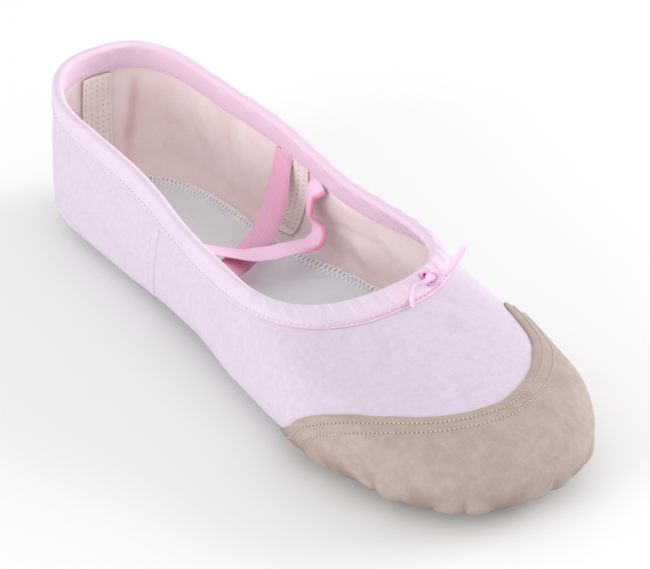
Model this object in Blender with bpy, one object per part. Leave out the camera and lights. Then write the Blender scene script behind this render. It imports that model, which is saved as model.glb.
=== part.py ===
"""Soft split-sole ballet slipper in canvas, with a leather toe cap and suede sole patches.

Metres, +Z up. The toe points along -Y, the heel along +Y, and the sole patches rest on Z = 0.
Shoe coordinates below are (across, along from the heel, up); place() turns them into world ones.
"""
import math

import bmesh
import bpy
import numpy as np

# Driving dimensions of the whole shoe
SHOE_LENGTH = 0.240
BALL_WIDTH = 0.089
HEEL_WIDTH = 0.058
HEEL_HEIGHT = 0.0565
INSTEP_HEIGHT = 0.066
TOE_HEIGHT = 0.0295
GIRDLE_HEIGHT = 0.015
THROAT_LENGTH = 0.161
HEEL_ROUNDING = 0.031
TOE_ROUNDING = 0.036
ARCH_LIFT = 0.0030
TOE_SPRING = 0.0012
TREAD_DEPTH = 0.0016

# Thicknesses of the materials, and the gaps between pieces
CANVAS_WALL = 0.0014
CAP_LEATHER = 0.0008
SUEDE = 0.0014
BINDING_KNIT = 0.0008
INSOLE_BOARD = 0.0020
TAPE_CLOTH = 0.0006
ELASTIC_CLOTH = 0.0009
GAP = 0.0003
EASE = 0.0002

# Pieces on the upper
BINDING_OUTSIDE = 0.0085
BINDING_INSIDE = 0.0100
FRONT_PATCH_LENGTH = 0.075
FRONT_PATCH_WIDTH = 0.052
FRONT_PATCH_FROM_TOE = 0.018
FRONT_PATCH_TURN = math.radians(9.0)
HEEL_PATCH_LENGTH = 0.049
HEEL_PATCH_WIDTH = 0.038
HEEL_PATCH_FROM_HEEL = 0.007
PATCH_SEAM = 0.008
PLEAT_RISE = 0.0010
BACK_TAPE_WIDTH = 0.011
SIDE_TAPE_WIDTH = 0.008
SIDE_TAPE_FROM_HEEL = 0.076
INSOLE_FROM_HEEL = 0.0065
INSOLE_FROM_TOE = 0.0075
ELASTIC_WIDTH = 0.0075
CORD_THICK = 0.0020
KNOT_SIZE = 0.0050
KNOT_ASIDE = 0.013

# Fineness of the faceted surfaces
STATIONS = 76
WALL_RINGS = 7
WALL_CROWDING = 1.6
UNDER_RINGS = 4
PLEAT_STATIONS = 3

# Powers of the rounded sections
CROWN_POWER = 2.35
FLOOR_POWER = 3.4
END_POWER = 2.35
EGG_NARROWING = 0.26

# The last, a row per section from heel to toe.
# along: share of the upper's length
# spread: 0 is the heel's width and 1 the ball's
# rise: 0 is the toe's height and 1 the instep's
# girdle: height of the widest line as a share of the girdle height
LAST = (
    # along, spread, rise, girdle
    (0.00, -0.06, 1.74, 1.07),
    (0.12, 0.00, 1.63, 1.00),
    (0.28, 0.13, 1.47, 1.00),
    (0.45, 0.32, 1.00, 0.93),
    (0.60, 0.77, 0.54, 0.93),
    (0.74, 1.00, 0.10, 1.00),
    (0.88, 0.55, 0.00, 1.03),
    (1.00, 0.13, -0.10, 0.87),
)

# The topline. along: share of the throat length; rise: 0 is the throat's height and 1 the heel's
TOPLINE = (
    # along, rise
    (0.00, 1.00),
    (0.18, 0.66),
    (0.42, 0.55),
    (0.68, 0.06),
    (0.92, 0.00),
    (1.00, 0.00),
)

# How the threads of the cloth fan out. girdle: share of the half girth line from heel to toe;
# collar: share of the half collar line
FAN = (
    # girdle, collar
    (0.00, 0.00),
    (0.16, 0.21),
    (0.35, 0.47),
    (0.49, 0.64),
    (0.70, 0.80),
    (0.85, 0.90),
    (1.00, 1.00),
)

# Edge of the toe cap. girdle: share of the half girth line; reach on either side: 0 at the collar,
# 1 at the girdle line and 2 at the middle of the underside
CAP_EDGE = (
    # girdle, reach at -X, reach at +X
    (0.570, 1.820, 1.820),
    (0.605, 1.652, 1.652),
    (0.63, 1.40, 1.38),
    (0.67, 1.18, 1.02),
    (0.72, 0.88, 0.68),
    (0.77, 0.74, 0.56),
    (0.84, 0.64, 0.58),
    (0.90, 0.62, 0.59),
    (1.00, 0.64, 0.64),
)

# Outline of the insole. along: share of the upper's length; width: share of the last's half-width
INSOLE_EDGE = (
    # along, width
    (0.00, 0.80),
    (0.11, 0.82),
    (0.19, 0.85),
    (0.29, 0.77),
    (0.35, 0.69),
    (0.42, 0.75),
    (0.48, 0.85),
    (0.60, 0.87),
    (0.80, 0.85),
    (1.00, 0.85),
)

# The two crossed elastics, each from the +X wall to the -X wall.
# across: share of the way between the walls; along: share of the shoe's length from the heel;
# drop: depth below the two ends as a share of the heel height
REAR_ELASTIC = (
    # across, along, drop, twist in degrees
    (0.000, 0.275, 0.000, 0),
    (0.020, 0.279, 0.124, 0),
    (0.130, 0.292, 0.336, 0),
    (0.390, 0.329, 0.425, 0),
    (0.660, 0.388, 0.372, 0),
    (0.870, 0.425, 0.230, 0),
    (0.975, 0.442, 0.088, 0),
    (1.000, 0.446, 0.000, 0),
)
FRONT_ELASTIC = (
    # across, along, drop, twist in degrees
    (0.000, 0.358, 0.000, 0),
    (0.025, 0.354, 0.106, 20),
    (0.050, 0.358, 0.212, 35),
    (0.090, 0.383, 0.301, 35),
    (0.240, 0.408, 0.319, 15),
    (0.420, 0.388, 0.292, 0),
    (0.600, 0.367, 0.265, 0),
    (0.800, 0.354, 0.195, 0),
    (0.965, 0.350, 0.071, 0),
    (1.000, 0.350, 0.000, 0),
)

# The drawstring's two ends, from the knot: aside, forward and up, in metres
LONG_END = (
    # aside, forward, up
    (0.0022, 0.0008, 0.0017),
    (0.0044, 0.0016, 0.0038),
    (0.0066, 0.0018, 0.0062),
    (0.0092, 0.0016, 0.0098),
    (0.0110, 0.0012, 0.0124),
)
SHORT_END = (
    # aside, forward, up
    (-0.0027, 0.0019, 0.0012),
    (-0.0036, 0.0032, 0.0012),
    (-0.0048, 0.0058, 0.0006),
    (-0.0056, 0.0084, -0.0004),
)

# Colours of the pieces: red, green, blue and roughness
CANVAS = ("canvas", (0.80, 0.70, 0.80), 0.90)
LEATHER = ("cap_leather", (0.55, 0.45, 0.41), 0.70)
SUEDE_GREY = ("suede", (0.52, 0.62, 0.60), 0.95)
KNIT = ("binding_knit", (0.86, 0.66, 0.84), 0.80)
FELT = ("insole_felt", (0.55, 0.55, 0.58), 0.95)
TWILL = ("twill_tape", (0.68, 0.60, 0.50), 0.90)
ELASTIC = ("elastic", (0.76, 0.38, 0.60), 0.60)

# Lengths that follow from the ones above
CAP_STAND = GAP + EASE + CAP_LEATHER
UPPER_LENGTH = SHOE_LENGTH - CAP_STAND
HEEL_REST = SUEDE + GAP + EASE
BALL_REST = HEEL_REST + CAP_STAND
TOPLINE_EDGE = BINDING_KNIT + GAP
INSIDE = CANVAS_WALL + GAP
DENSE = 600


def smooth(table, column, where):
    """Monotone cubic curve through one column of a table, read at the given shares."""
    xs = np.array([row[0] for row in table])
    ys = np.array([row[column] for row in table])
    where = np.clip(np.asarray(where, float), xs[0], xs[-1])
    steps = np.diff(xs)
    slopes = np.diff(ys) / steps
    tangents = np.zeros(len(xs))
    tangents[0] = slopes[0]
    tangents[-1] = slopes[-1]
    for i in range(1, len(xs) - 1):
        before, after = slopes[i - 1], slopes[i]
        if before * after > 0:
            near = 2 * steps[i] + steps[i - 1]
            far = steps[i] + 2 * steps[i - 1]
            tangents[i] = (near + far) / (near / before + far / after)
    k = np.clip(np.searchsorted(xs, where, side="right") - 1, 0, len(xs) - 2)
    t = (where - xs[k]) / steps[k]
    return (
        ys[k] * (1 + 2 * t) * (1 - t) ** 2
        + tangents[k] * steps[k] * t * (1 - t) ** 2
        + ys[k + 1] * t ** 2 * (3 - 2 * t)
        + tangents[k + 1] * steps[k] * t ** 2 * (t - 1)
    )


def floor_height(along):
    """Height of the upper's underside: flat over both patches, lifted at the arch and the toe."""
    heel_patch_end = HEEL_PATCH_FROM_HEEL + HEEL_PATCH_LENGTH
    front_patch_end = SHOE_LENGTH - FRONT_PATCH_FROM_TOE
    front_patch_start = front_patch_end - FRONT_PATCH_LENGTH
    rows = (
        (0.0, HEEL_REST),
        (heel_patch_end, HEEL_REST),
        ((heel_patch_end + front_patch_start) / 2, HEEL_REST + ARCH_LIFT),
        (front_patch_start, BALL_REST),
        (front_patch_end, BALL_REST),
        (SHOE_LENGTH, BALL_REST + TOE_SPRING),
    )
    return smooth(rows, 1, along)


def section(along):
    """Half-width, girdle height, crown height and floor height of the last, at a distance from the heel."""
    share = np.asarray(along) / UPPER_LENGTH
    half_width = (HEEL_WIDTH + (BALL_WIDTH - 2 * CAP_STAND - HEEL_WIDTH) * smooth(LAST, 1, share)) / 2
    crown = TOE_HEIGHT + (INSTEP_HEIGHT - TOE_HEIGHT) * smooth(LAST, 2, share)
    girdle = GIRDLE_HEIGHT * smooth(LAST, 3, share)
    return half_width, girdle, crown, floor_height(along)


def closing(along):
    """1 along the middle of the last, falling to 0 at its rounded heel and toe."""
    heel = np.clip((HEEL_ROUNDING - along) / HEEL_ROUNDING, 0, 1)
    toe = np.clip((along - UPPER_LENGTH + TOE_ROUNDING) / TOE_ROUNDING, 0, 1)
    heel_end = np.clip(1 - heel ** END_POWER, 0, 1) ** (1 / END_POWER)
    toe_end = np.clip(1 - toe ** END_POWER, 0, 1) ** (1 / END_POWER)
    return np.maximum(heel_end * toe_end, 1e-4)


def level(points):
    """Below 1 inside the closed last, 1 on its surface, before the tread is flattened."""
    x, along, z = points[..., 0], points[..., 1], points[..., 2]
    half_width, girdle, crown, floor = section(along)
    end = closing(along)
    above = z >= girdle
    height = np.where(above, crown - girdle, girdle - floor + TREAD_DEPTH)
    power = np.where(above, CROWN_POWER, FLOOR_POWER)
    outside = np.maximum(-along, 0) + np.maximum(along - UPPER_LENGTH, 0)
    value = (np.abs(x) / (half_width * end)) ** power + (np.abs(z - girdle) / (height * end)) ** power
    return np.minimum(value, 1e6) + outside * 1e5


def spine(points):
    """The point on the last's middle line that a surface point is measured from."""
    along = np.clip(points[..., 1], HEEL_ROUNDING, UPPER_LENGTH - TOE_ROUNDING)
    girdle = section(along)[1]
    return np.stack([np.zeros_like(along), along, girdle], -1)


def normals(points):
    """Outward directions of the last's surface, straight down on the flattened tread."""
    step = 1e-5
    slope = np.zeros_like(points)
    for axis in range(3):
        shift = np.zeros(3)
        shift[axis] = step
        slope[..., axis] = level(points + shift) - level(points - shift)
    slope /= np.maximum(np.linalg.norm(slope, axis=-1, keepdims=True), 1e-12)
    tread = points[..., 2] <= floor_height(points[..., 1]) + 1e-7
    slope[tread] = (0, 0, -1)
    return slope


def flatten(points):
    """Points with none below the tread."""
    flat = points.copy()
    flat[..., 2] = np.maximum(flat[..., 2], floor_height(flat[..., 1]))
    return flat


def skin(points, clearance=0.0):
    """The nearest surface of the last along rays from its spine, moved out by a clearance."""
    start = spine(points)
    ray = points - start
    ray /= np.maximum(np.linalg.norm(ray, axis=-1, keepdims=True), 1e-12)
    low = np.zeros(ray.shape[:-1])
    high = np.full(ray.shape[:-1], SHOE_LENGTH)
    for _ in range(40):
        middle = (low + high) / 2
        inside = level(start + ray * middle[..., None]) < 1
        low = np.where(inside, middle, low)
        high = np.where(inside, high, middle)
    surface = flatten(start + ray * middle[..., None])
    return surface + normals(surface) * np.asarray(clearance)[..., None]


def underside(across, along, clearance=0.0):
    """Points of the last's underside, given from below, moved out by a clearance."""
    half_width, girdle, crown, floor = section(along)
    end = closing(along)
    ratio = np.clip(np.abs(across) / (half_width * end), 0, 1)
    depth = (girdle - floor + TREAD_DEPTH) * end * (1 - ratio ** FLOOR_POWER) ** (1 / FLOOR_POWER)
    surface = flatten(np.stack([across, along, girdle - depth], -1))
    return surface + normals(surface) * np.asarray(clearance)[..., None]


def side_wall(side, along, height, clearance=0.0):
    """Points of the last's side at given heights, moved out by a clearance."""
    half_width, girdle, crown, floor = section(along)
    end = closing(along)
    above = height >= girdle
    tall = np.where(above, crown - girdle, girdle - floor + TREAD_DEPTH)
    power = np.where(above, CROWN_POWER, FLOOR_POWER)
    ratio = np.clip(np.abs(height - girdle) / (tall * end), 0, 1)
    across = side * half_width * end * (1 - ratio ** power) ** (1 / power)
    surface = np.stack([across, along + 0 * height, height + 0 * along], -1)
    return surface + normals(surface) * np.asarray(clearance)[..., None]


def collar_height(along):
    """Height of the topline: the crown of the last at the throat, the heel height at the heel."""
    throat = section(np.array(THROAT_LENGTH))[2]
    return throat + (HEEL_HEIGHT - throat) * smooth(TOPLINE, 1, np.asarray(along) / THROAT_LENGTH)


def read_curve(curve, share):
    """Points at shares of a curve's length."""
    steps = np.linalg.norm(np.diff(curve, axis=0), axis=1)
    walked = np.concatenate([[0.0], np.cumsum(steps)])
    where = np.asarray(share) * walked[-1]
    return np.stack([np.interp(where, walked, curve[:, axis]) for axis in range(3)], -1)


def half_girdle():
    """The widest line of the last, from the heel to the toe, on the +X side."""
    along = UPPER_LENGTH * (1 - np.cos(np.linspace(0, np.pi, DENSE))) / 2
    half_width, girdle, crown, floor = section(along)
    across = half_width * closing(along)
    across[0] = across[-1] = 0.0
    return np.stack([across, along, girdle], -1)


def half_collar():
    """The topline from the heel to the throat, on the +X side."""
    along = THROAT_LENGTH * (1 - np.cos(np.linspace(0, np.pi, DENSE))) / 2
    height = collar_height(along)
    half_width, girdle, crown, floor = section(along)
    end = closing(along)
    ratio = np.clip((height - girdle) / ((crown - girdle) * end), 0, 1)
    across = half_width * end * (1 - ratio ** CROWN_POWER) ** (1 / CROWN_POWER)
    across[-1] = 0.0
    first = int(np.argmax(across > 0))
    return np.stack([across, along, height], -1)[first - 1:]


GIRDLE_LINE = half_girdle()
COLLAR_LINE = half_collar()


def around(turn):
    """Side and share from heel to toe of a turn round the shoe: 0 heel, 0.5 toe, first on the -X side."""
    turn = np.mod(np.asarray(turn, float), 1.0)
    side = np.where(turn < 0.5, -1.0, 1.0)
    return side, 1 - np.abs(2 * turn - 1)


def ends_of_thread(turn):
    """Collar point, girdle point and underside point of the cloth's threads at the given turns."""
    side, share = around(turn)
    mirror = np.stack([side, np.ones_like(side), np.ones_like(side)], -1)
    top = read_curve(COLLAR_LINE, smooth(FAN, 1, share)) * mirror
    girdle = read_curve(GIRDLE_LINE, share) * mirror
    bottom = spine(girdle)
    bottom[..., 2] = floor_height(bottom[..., 1])
    return top, girdle, bottom


def thread(turn, reach, clearance=0.0):
    """A point of the upper's own surface: reach 0 at the collar, 1 at the girdle, 2 under the middle."""
    turn, reach, clearance = np.broadcast_arrays(
        np.asarray(turn, float), np.asarray(reach, float), np.asarray(clearance, float)
    )
    top, girdle, bottom = ends_of_thread(turn)
    middle = spine(girdle)
    down = np.clip(reach, 0, 1)[..., None]
    angle = np.clip(reach - 1, 0, 1)[..., None] * np.pi / 2
    wall = top + (girdle - top) * down
    power = 2 / FLOOR_POWER
    under = middle + (girdle - middle) * np.cos(angle) ** power + (bottom - middle) * np.sin(angle) ** power
    return skin(np.where(reach[..., None] <= 1, wall, under), clearance)


def depth_to_reach(turn, depth):
    """Reach of a point at a depth below the collar line."""
    top, girdle, bottom = ends_of_thread(turn)
    return depth / np.linalg.norm(girdle - top, axis=-1)


def place(points):
    """World coordinates of shoe coordinates."""
    world = np.array(points, float)
    world[..., 1] = SHOE_LENGTH / 2 - world[..., 1]
    return world


def paint(obj, finish):
    """Gives an object its own material."""
    name, colour, roughness = finish
    material = bpy.data.materials.new(obj.name + "_" + name)
    material.use_nodes = True
    shader = material.node_tree.nodes["Principled BSDF"]
    shader.inputs["Base Color"].default_value = (*colour, 1.0)
    shader.inputs["Roughness"].default_value = roughness
    shader.inputs["Metallic"].default_value = 0.0
    obj.data.materials.append(material)


def add_object(name, vertices, faces, finish):
    """One named object from vertices and faces, its repeated vertices joined and its faces outward."""
    mesh = bpy.data.meshes.new(name)
    mesh.from_pydata([tuple(v) for v in place(np.asarray(vertices))], [], faces)
    shape = bmesh.new()
    shape.from_mesh(mesh)
    bmesh.ops.remove_doubles(shape, verts=shape.verts, dist=1e-6)
    bmesh.ops.dissolve_degenerate(shape, edges=shape.edges, dist=1e-7)
    bmesh.ops.triangulate(shape, faces=shape.faces)
    bmesh.ops.recalc_face_normals(shape, faces=shape.faces)
    shape.to_mesh(mesh)
    shape.free()
    mesh.shade_smooth()
    mesh.set_sharp_from_angle(angle=math.radians(40))
    obj = bpy.data.objects.new(name, mesh)
    bpy.context.collection.objects.link(obj)
    paint(obj, finish)
    return obj


def grid_faces(rows, columns, start=0, closed_rows=False, closed_columns=False):
    """Quads of a grid of vertices stored row by row."""
    faces = []
    for i in range(rows if closed_rows else rows - 1):
        for j in range(columns if closed_columns else columns - 1):
            k, m = (i + 1) % rows, (j + 1) % columns
            quad = (i * columns + j, i * columns + m, k * columns + m, k * columns + j)
            faces.append(tuple(start + v for v in quad))
    return faces


def add_sheet(name, outer, inner, finish, closed_columns=False, rims=(0, -1)):
    """A closed solid between two grids of points, rimmed along the given rows and the open sides."""
    rows, columns = outer.shape[:2]
    count = rows * columns
    vertices = np.concatenate([outer.reshape(-1, 3), inner.reshape(-1, 3)])
    faces = grid_faces(rows, columns, closed_columns=closed_columns)
    faces += grid_faces(rows, columns, count, closed_columns=closed_columns)
    for row in rims:
        for j in range(columns if closed_columns else columns - 1):
            m = (j + 1) % columns
            a, b = row % rows * columns + j, row % rows * columns + m
            faces.append((a, b, b + count, a + count))
    if not closed_columns:
        for column in (0, columns - 1):
            for i in range(rows - 1):
                a, b = i * columns + column, (i + 1) * columns + column
                faces.append((a, b, b + count, a + count))
    return add_object(name, vertices, faces, finish)


class Patch:
    """Egg-shaped outline of a sole patch; its wide end points to the toe where narrowing is positive."""

    def __init__(self, length, width, rear, turn, narrowing):
        self.length = length
        self.width = width
        self.centre = rear + length / 2
        self.turn = turn
        self.narrowing = narrowing

    def outline(self, inset, count):
        """Plan points round the egg, drawn in by an inset."""
        angle = np.arange(count) * 2 * np.pi / count
        forward = (self.length / 2 - inset) * np.cos(angle)
        sideways = (self.width / 2 - inset) * np.sin(angle) * (1 + self.narrowing * np.cos(angle))
        across = sideways * math.cos(self.turn) + forward * math.sin(self.turn)
        along = forward * math.cos(self.turn) - sideways * math.sin(self.turn)
        return across, along + self.centre

    def spread(self, across, along):
        """Distance from the centre as a share of the egg's own radius that way."""
        along = along - self.centre
        forward = across * math.sin(self.turn) + along * math.cos(self.turn)
        sideways = across * math.cos(self.turn) - along * math.sin(self.turn)
        lengthwise = forward / (self.length / 2)
        widest = self.width / 2 * (1 + self.narrowing * np.clip(lengthwise, -1, 1))
        return np.hypot(lengthwise, sideways / widest)


FRONT_PATCH = Patch(
    FRONT_PATCH_LENGTH,
    FRONT_PATCH_WIDTH,
    SHOE_LENGTH - FRONT_PATCH_FROM_TOE - FRONT_PATCH_LENGTH,
    FRONT_PATCH_TURN,
    EGG_NARROWING,
)
HEEL_PATCH = Patch(HEEL_PATCH_LENGTH, HEEL_PATCH_WIDTH, HEEL_PATCH_FROM_HEEL, 0.0, -EGG_NARROWING / 2)


def ramp(low, high, value):
    """Smooth step from 0 at low to 1 at high."""
    t = np.clip((value - low) / (high - low), 0, 1)
    return t * t * (3 - 2 * t)


def cut_opening(obj, patch):
    """Opens a piece underneath where a sole patch closes it."""
    count = 32
    across, along = patch.outline(PATCH_SEAM, count)
    low = np.full(count, -SUEDE)
    high = np.full(count, GIRDLE_HEIGHT * 0.7)
    bottom = np.stack([across, along, low], -1)
    top = np.stack([across, along, high], -1)
    vertices = np.concatenate([bottom, top])
    faces = [tuple(range(count)), tuple(range(count, 2 * count))]
    for i in range(count):
        k = (i + 1) % count
        faces.append((i, k, k + count, i + count))
    cutter = add_object(obj.name + "_opening", vertices, faces, SUEDE_GREY)
    cutter.hide_render = True
    cutter.display_type = "WIRE"
    cut = obj.modifiers.new("opening", "BOOLEAN")
    cut.operation = "DIFFERENCE"
    cut.solver = "EXACT"
    cut.object = cutter


def tread_reach(turns):
    """Reach at which each thread arrives on the flat tread."""
    low = np.ones(len(turns))
    high = np.full(len(turns), 2.0)
    for _ in range(20):
        middle = (low + high) / 2
        points = thread(turns, middle)
        flat = points[..., 2] <= floor_height(points[..., 1]) + 1e-7
        high = np.where(flat, middle, high)
        low = np.where(flat, low, middle)
    return high


def surface_rows(turns):
    """Reaches of the rows that the upper and the toe cap share, closer together towards the girdle line."""
    hem = [TOPLINE_EDGE, (TOPLINE_EDGE + BINDING_INSIDE) / 2, BINDING_INSIDE]
    rows = [depth_to_reach(turns, depth) for depth in hem]
    for step in range(1, WALL_RINGS + 1):
        rows.append(rows[2] + (1 - rows[2]) * (1 - (1 - step / WALL_RINGS) ** WALL_CROWDING))
    tread = tread_reach(turns)
    for step in range(1, UNDER_RINGS + 1):
        rows.append(1 + (tread - 1) * step / UNDER_RINGS)
    rows.append(np.full(len(turns), 2.0))
    return np.stack(rows)


def make_upper():
    """Canvas and lining as one wall, open at the collar and under both sole patches."""
    turns = np.arange(STATIONS) / STATIONS
    reach = surface_rows(turns)
    turn = np.broadcast_to(turns, reach.shape)
    outer = thread(turn, reach)
    inner = thread(turn, reach, -CANVAS_WALL)
    upper = add_sheet("upper", outer, inner, CANVAS, closed_columns=True, rims=(0,))
    cut_opening(upper, FRONT_PATCH)
    cut_opening(upper, HEEL_PATCH)


def pleats(points, station):
    """How far the cap's gathers stand out: a ridge at every third station outside the sole patch."""
    ridge = np.maximum(np.cos(2 * np.pi * (station - STATIONS / 2) / PLEAT_STATIONS), 0)
    outside = ramp(1.24, 1.40, FRONT_PATCH.spread(points[..., 0], points[..., 1]))
    low = 1 - ramp(0.35, 1.0, points[..., 2] / GIRDLE_HEIGHT)
    forward = 0.3 + 0.7 * ramp(0.64, 0.80, points[..., 1] / SHOE_LENGTH)
    return PLEAT_RISE * ridge * outside * low * forward


def make_toe_cap():
    """Leather cap over the toe, gathered under the forefoot round the sole patch."""
    stations = np.arange(STATIONS)
    stations = stations[around(stations / STATIONS)[1] > CAP_EDGE[0][0]]
    turns = stations / STATIONS
    side, share = around(turns)
    edge = np.where(side < 0, smooth(CAP_EDGE, 1, share), smooth(CAP_EDGE, 2, share))
    reach = np.maximum(surface_rows(turns), edge)
    turn = np.broadcast_to(turns, reach.shape)
    station = np.broadcast_to(stations, reach.shape)
    rise = pleats(thread(turn, reach), station)
    outer = thread(turn, reach, CAP_STAND + rise)
    inner = thread(turn, reach, CAP_STAND - CAP_LEATHER)
    cap = add_sheet("toe_cap", outer, inner, LEATHER, rims=(0,))
    cut_opening(cap, FRONT_PATCH)


def make_sole_patch(name, patch, clearance):
    """Suede patch under the sole, as thick all over."""
    count = 40
    rows = []
    for share in (0.0, 0.45, 0.70, 0.86, 1.0):
        across, along = patch.outline(0.0, count)
        across = across * share
        along = patch.centre + (along - patch.centre) * share
        rows.append(np.stack([across, along], -1))
    plan = np.stack(rows)
    top = underside(plan[..., 0], plan[..., 1], np.full(plan.shape[:-1], clearance))
    bottom = underside(plan[..., 0], plan[..., 1], np.full(plan.shape[:-1], clearance + SUEDE))
    add_sheet(name, bottom, top, SUEDE_GREY, closed_columns=True, rims=(-1,))


def make_binding():
    """Knitted casing folded over the top edge of the upper."""
    turns = np.arange(STATIONS) / STATIONS
    outside = GAP + BINDING_KNIT
    inside = -(INSIDE + BINDING_KNIT)
    middle = -CANVAS_WALL / 2
    roll = BINDING_KNIT + GAP
    profile = (
        # depth below the collar line, clearance from the upper's outside
        (BINDING_OUTSIDE, outside),
        (BINDING_OUTSIDE / 2, outside),
        (roll, outside),
        (roll / 3, (outside + middle) / 2),
        (0.0, middle),
        (roll / 3, (inside + middle) / 2),
        (roll, inside),
        (BINDING_INSIDE / 2, inside),
        (BINDING_INSIDE, inside),
        (BINDING_INSIDE, -INSIDE),
        (BINDING_INSIDE / 2, -INSIDE),
        (BINDING_KNIT, -INSIDE),
        (BINDING_KNIT, GAP),
        (BINDING_OUTSIDE / 2, GAP),
        (BINDING_OUTSIDE, GAP),
    )
    rows = [thread(turns, depth_to_reach(turns, depth), clearance) for depth, clearance in profile]
    rings = np.stack(rows)
    faces = grid_faces(len(profile), STATIONS, closed_rows=True, closed_columns=True)
    add_object("collar_binding", rings.reshape(-1, 3), faces, KNIT)


def make_insole():
    """Thin board on the upper's floor, with a waist."""
    rows = 26
    shares = np.array([-1.0, -0.87, -0.45, 0.0, 0.45, 0.87, 1.0])
    last = UPPER_LENGTH - INSOLE_FROM_TOE
    along = INSOLE_FROM_HEEL + (last - INSOLE_FROM_HEEL) * (1 - np.cos(np.linspace(0, np.pi, rows))) / 2
    half_width, girdle, crown, floor = section(along)
    half_width = half_width * smooth(INSOLE_EDGE, 1, along / UPPER_LENGTH)
    rear = np.clip(1 - (along - INSOLE_FROM_HEEL) / HEEL_ROUNDING, 0, 1)
    front = np.clip(1 - (last - along) / TOE_ROUNDING, 0, 1)
    half_width = half_width * np.sqrt(np.clip(1 - rear ** 2, 0, 1)) * np.sqrt(np.clip(1 - front ** 2, 0, 1))
    across = half_width[:, None] * shares[None, :]
    along = np.broadcast_to(along[:, None], across.shape)
    low = np.full(across.shape, -INSIDE - EASE)
    add_sheet("insole", underside(across, along, low), underside(across, along, low - INSOLE_BOARD), FELT, rims=())


def make_back_tape():
    """Twill tape over the heel seam, inside."""
    rows = 8
    lowest = HEEL_REST + INSIDE + INSOLE_BOARD + GIRDLE_HEIGHT / 2
    highest = HEEL_HEIGHT - BINDING_INSIDE - GAP
    height = np.linspace(highest, lowest, rows)[:, None]
    across = np.array([-1.0, 0.0, 1.0])[None, :] * BACK_TAPE_WIDTH / 2
    guess = np.stack([across + 0 * height, 0 * across * height, height + 0 * across], -1)
    inset = np.full(guess.shape[:-1], -INSIDE - 2 * EASE)
    add_sheet("back_tape", skin(guess, inset), skin(guess, inset - TAPE_CLOTH), TWILL)


def make_side_tape(name, side):
    """Twill tape over a side seam, inside, from the binding down to the insole."""
    rows = 8
    along = SIDE_TAPE_FROM_HEEL + np.array([-1.0, 1.0])[None, :] * SIDE_TAPE_WIDTH / 2
    highest = collar_height(along) - BINDING_INSIDE - GAP
    lowest = floor_height(along) + INSIDE + INSOLE_BOARD + 2 * GAP
    height = highest + (lowest - highest) * np.linspace(0, 1, rows)[:, None]
    along = np.broadcast_to(along, height.shape)
    inset = np.full(height.shape, -INSIDE - EASE)
    add_sheet(name, side_wall(side, along, height, inset), side_wall(side, along, height, inset - TAPE_CLOTH), TWILL)


def smooth_path(points, count):
    """Evenly read points of a smooth curve through a few."""
    walked = np.concatenate([[0], np.cumsum(np.linalg.norm(np.diff(points, axis=0), axis=1))])
    where = np.linspace(0, walked[-1], count)
    curves = []
    for axis in range(points.shape[1]):
        table = list(zip(walked, points[:, axis]))
        curves.append(smooth(table, 1, where))
    return np.stack(curves, -1)


def elastic_end(side, along):
    """Where an elastic leaves the binding, flat against the wall."""
    height = float(collar_height(along + ELASTIC_WIDTH / 2)) - BINDING_INSIDE - 2 * GAP
    return side_wall(side, np.array(along), height, -(INSIDE + ELASTIC_CLOTH / 2 + GAP + EASE))


def make_elastic(name, table):
    """A slack elastic from wall to wall."""
    count = 25
    start = elastic_end(1.0, table[0][1] * SHOE_LENGTH)
    finish = elastic_end(-1.0, table[-1][1] * SHOE_LENGTH)
    points = []
    for across, along, drop, twist in table:
        x = start[0] + (finish[0] - start[0]) * across
        z = start[2] + (finish[2] - start[2]) * across - drop * HEEL_HEIGHT
        points.append((x, along * SHOE_LENGTH, z, math.radians(twist)))
    path = smooth_path(np.array(points), count)
    centre, twist = path[:, :3], path[:, 3]
    tangent = np.gradient(centre, axis=0)
    tangent /= np.linalg.norm(tangent, axis=1, keepdims=True)
    along_axis = np.stack([-np.sin(twist), np.cos(twist), np.zeros(count)], -1)
    width = along_axis - tangent * (along_axis * tangent).sum(1, keepdims=True)
    width /= np.linalg.norm(width, axis=1, keepdims=True)
    face = np.cross(tangent, width)
    edges = np.stack([centre - width * ELASTIC_WIDTH / 2, centre + width * ELASTIC_WIDTH / 2], 1)
    lift = face[:, None, :] * ELASTIC_CLOTH / 2
    add_sheet(name, edges + lift, edges - lift, ELASTIC)


def knot_centre():
    """The knot sits on the binding at the throat, a little to the +X side."""
    front = COLLAR_LINE[COLLAR_LINE[:, 1] > THROAT_LENGTH / 2]
    along = np.interp(KNOT_ASIDE, front[::-1, 0], front[::-1, 1])
    guess = np.array([KNOT_ASIDE, along + BINDING_OUTSIDE / 4, float(collar_height(along))])
    return skin(guess, GAP + BINDING_KNIT + GAP + KNOT_SIZE * 0.4)


def make_knot():
    """The drawstring's small knot."""
    rows, columns = 9, 12
    angle = np.linspace(0, np.pi, rows)[:, None]
    turn = np.arange(columns)[None, :] * 2 * np.pi / columns
    ball = np.stack([
        np.sin(angle) * np.cos(turn),
        np.sin(angle) * np.sin(turn),
        np.cos(angle) * 0.8 + 0 * turn,
    ], -1)
    faces = grid_faces(rows, columns, closed_columns=True)
    add_object("drawstring_knot", (knot_centre() + ball * KNOT_SIZE / 2).reshape(-1, 3), faces, KNIT)


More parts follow.
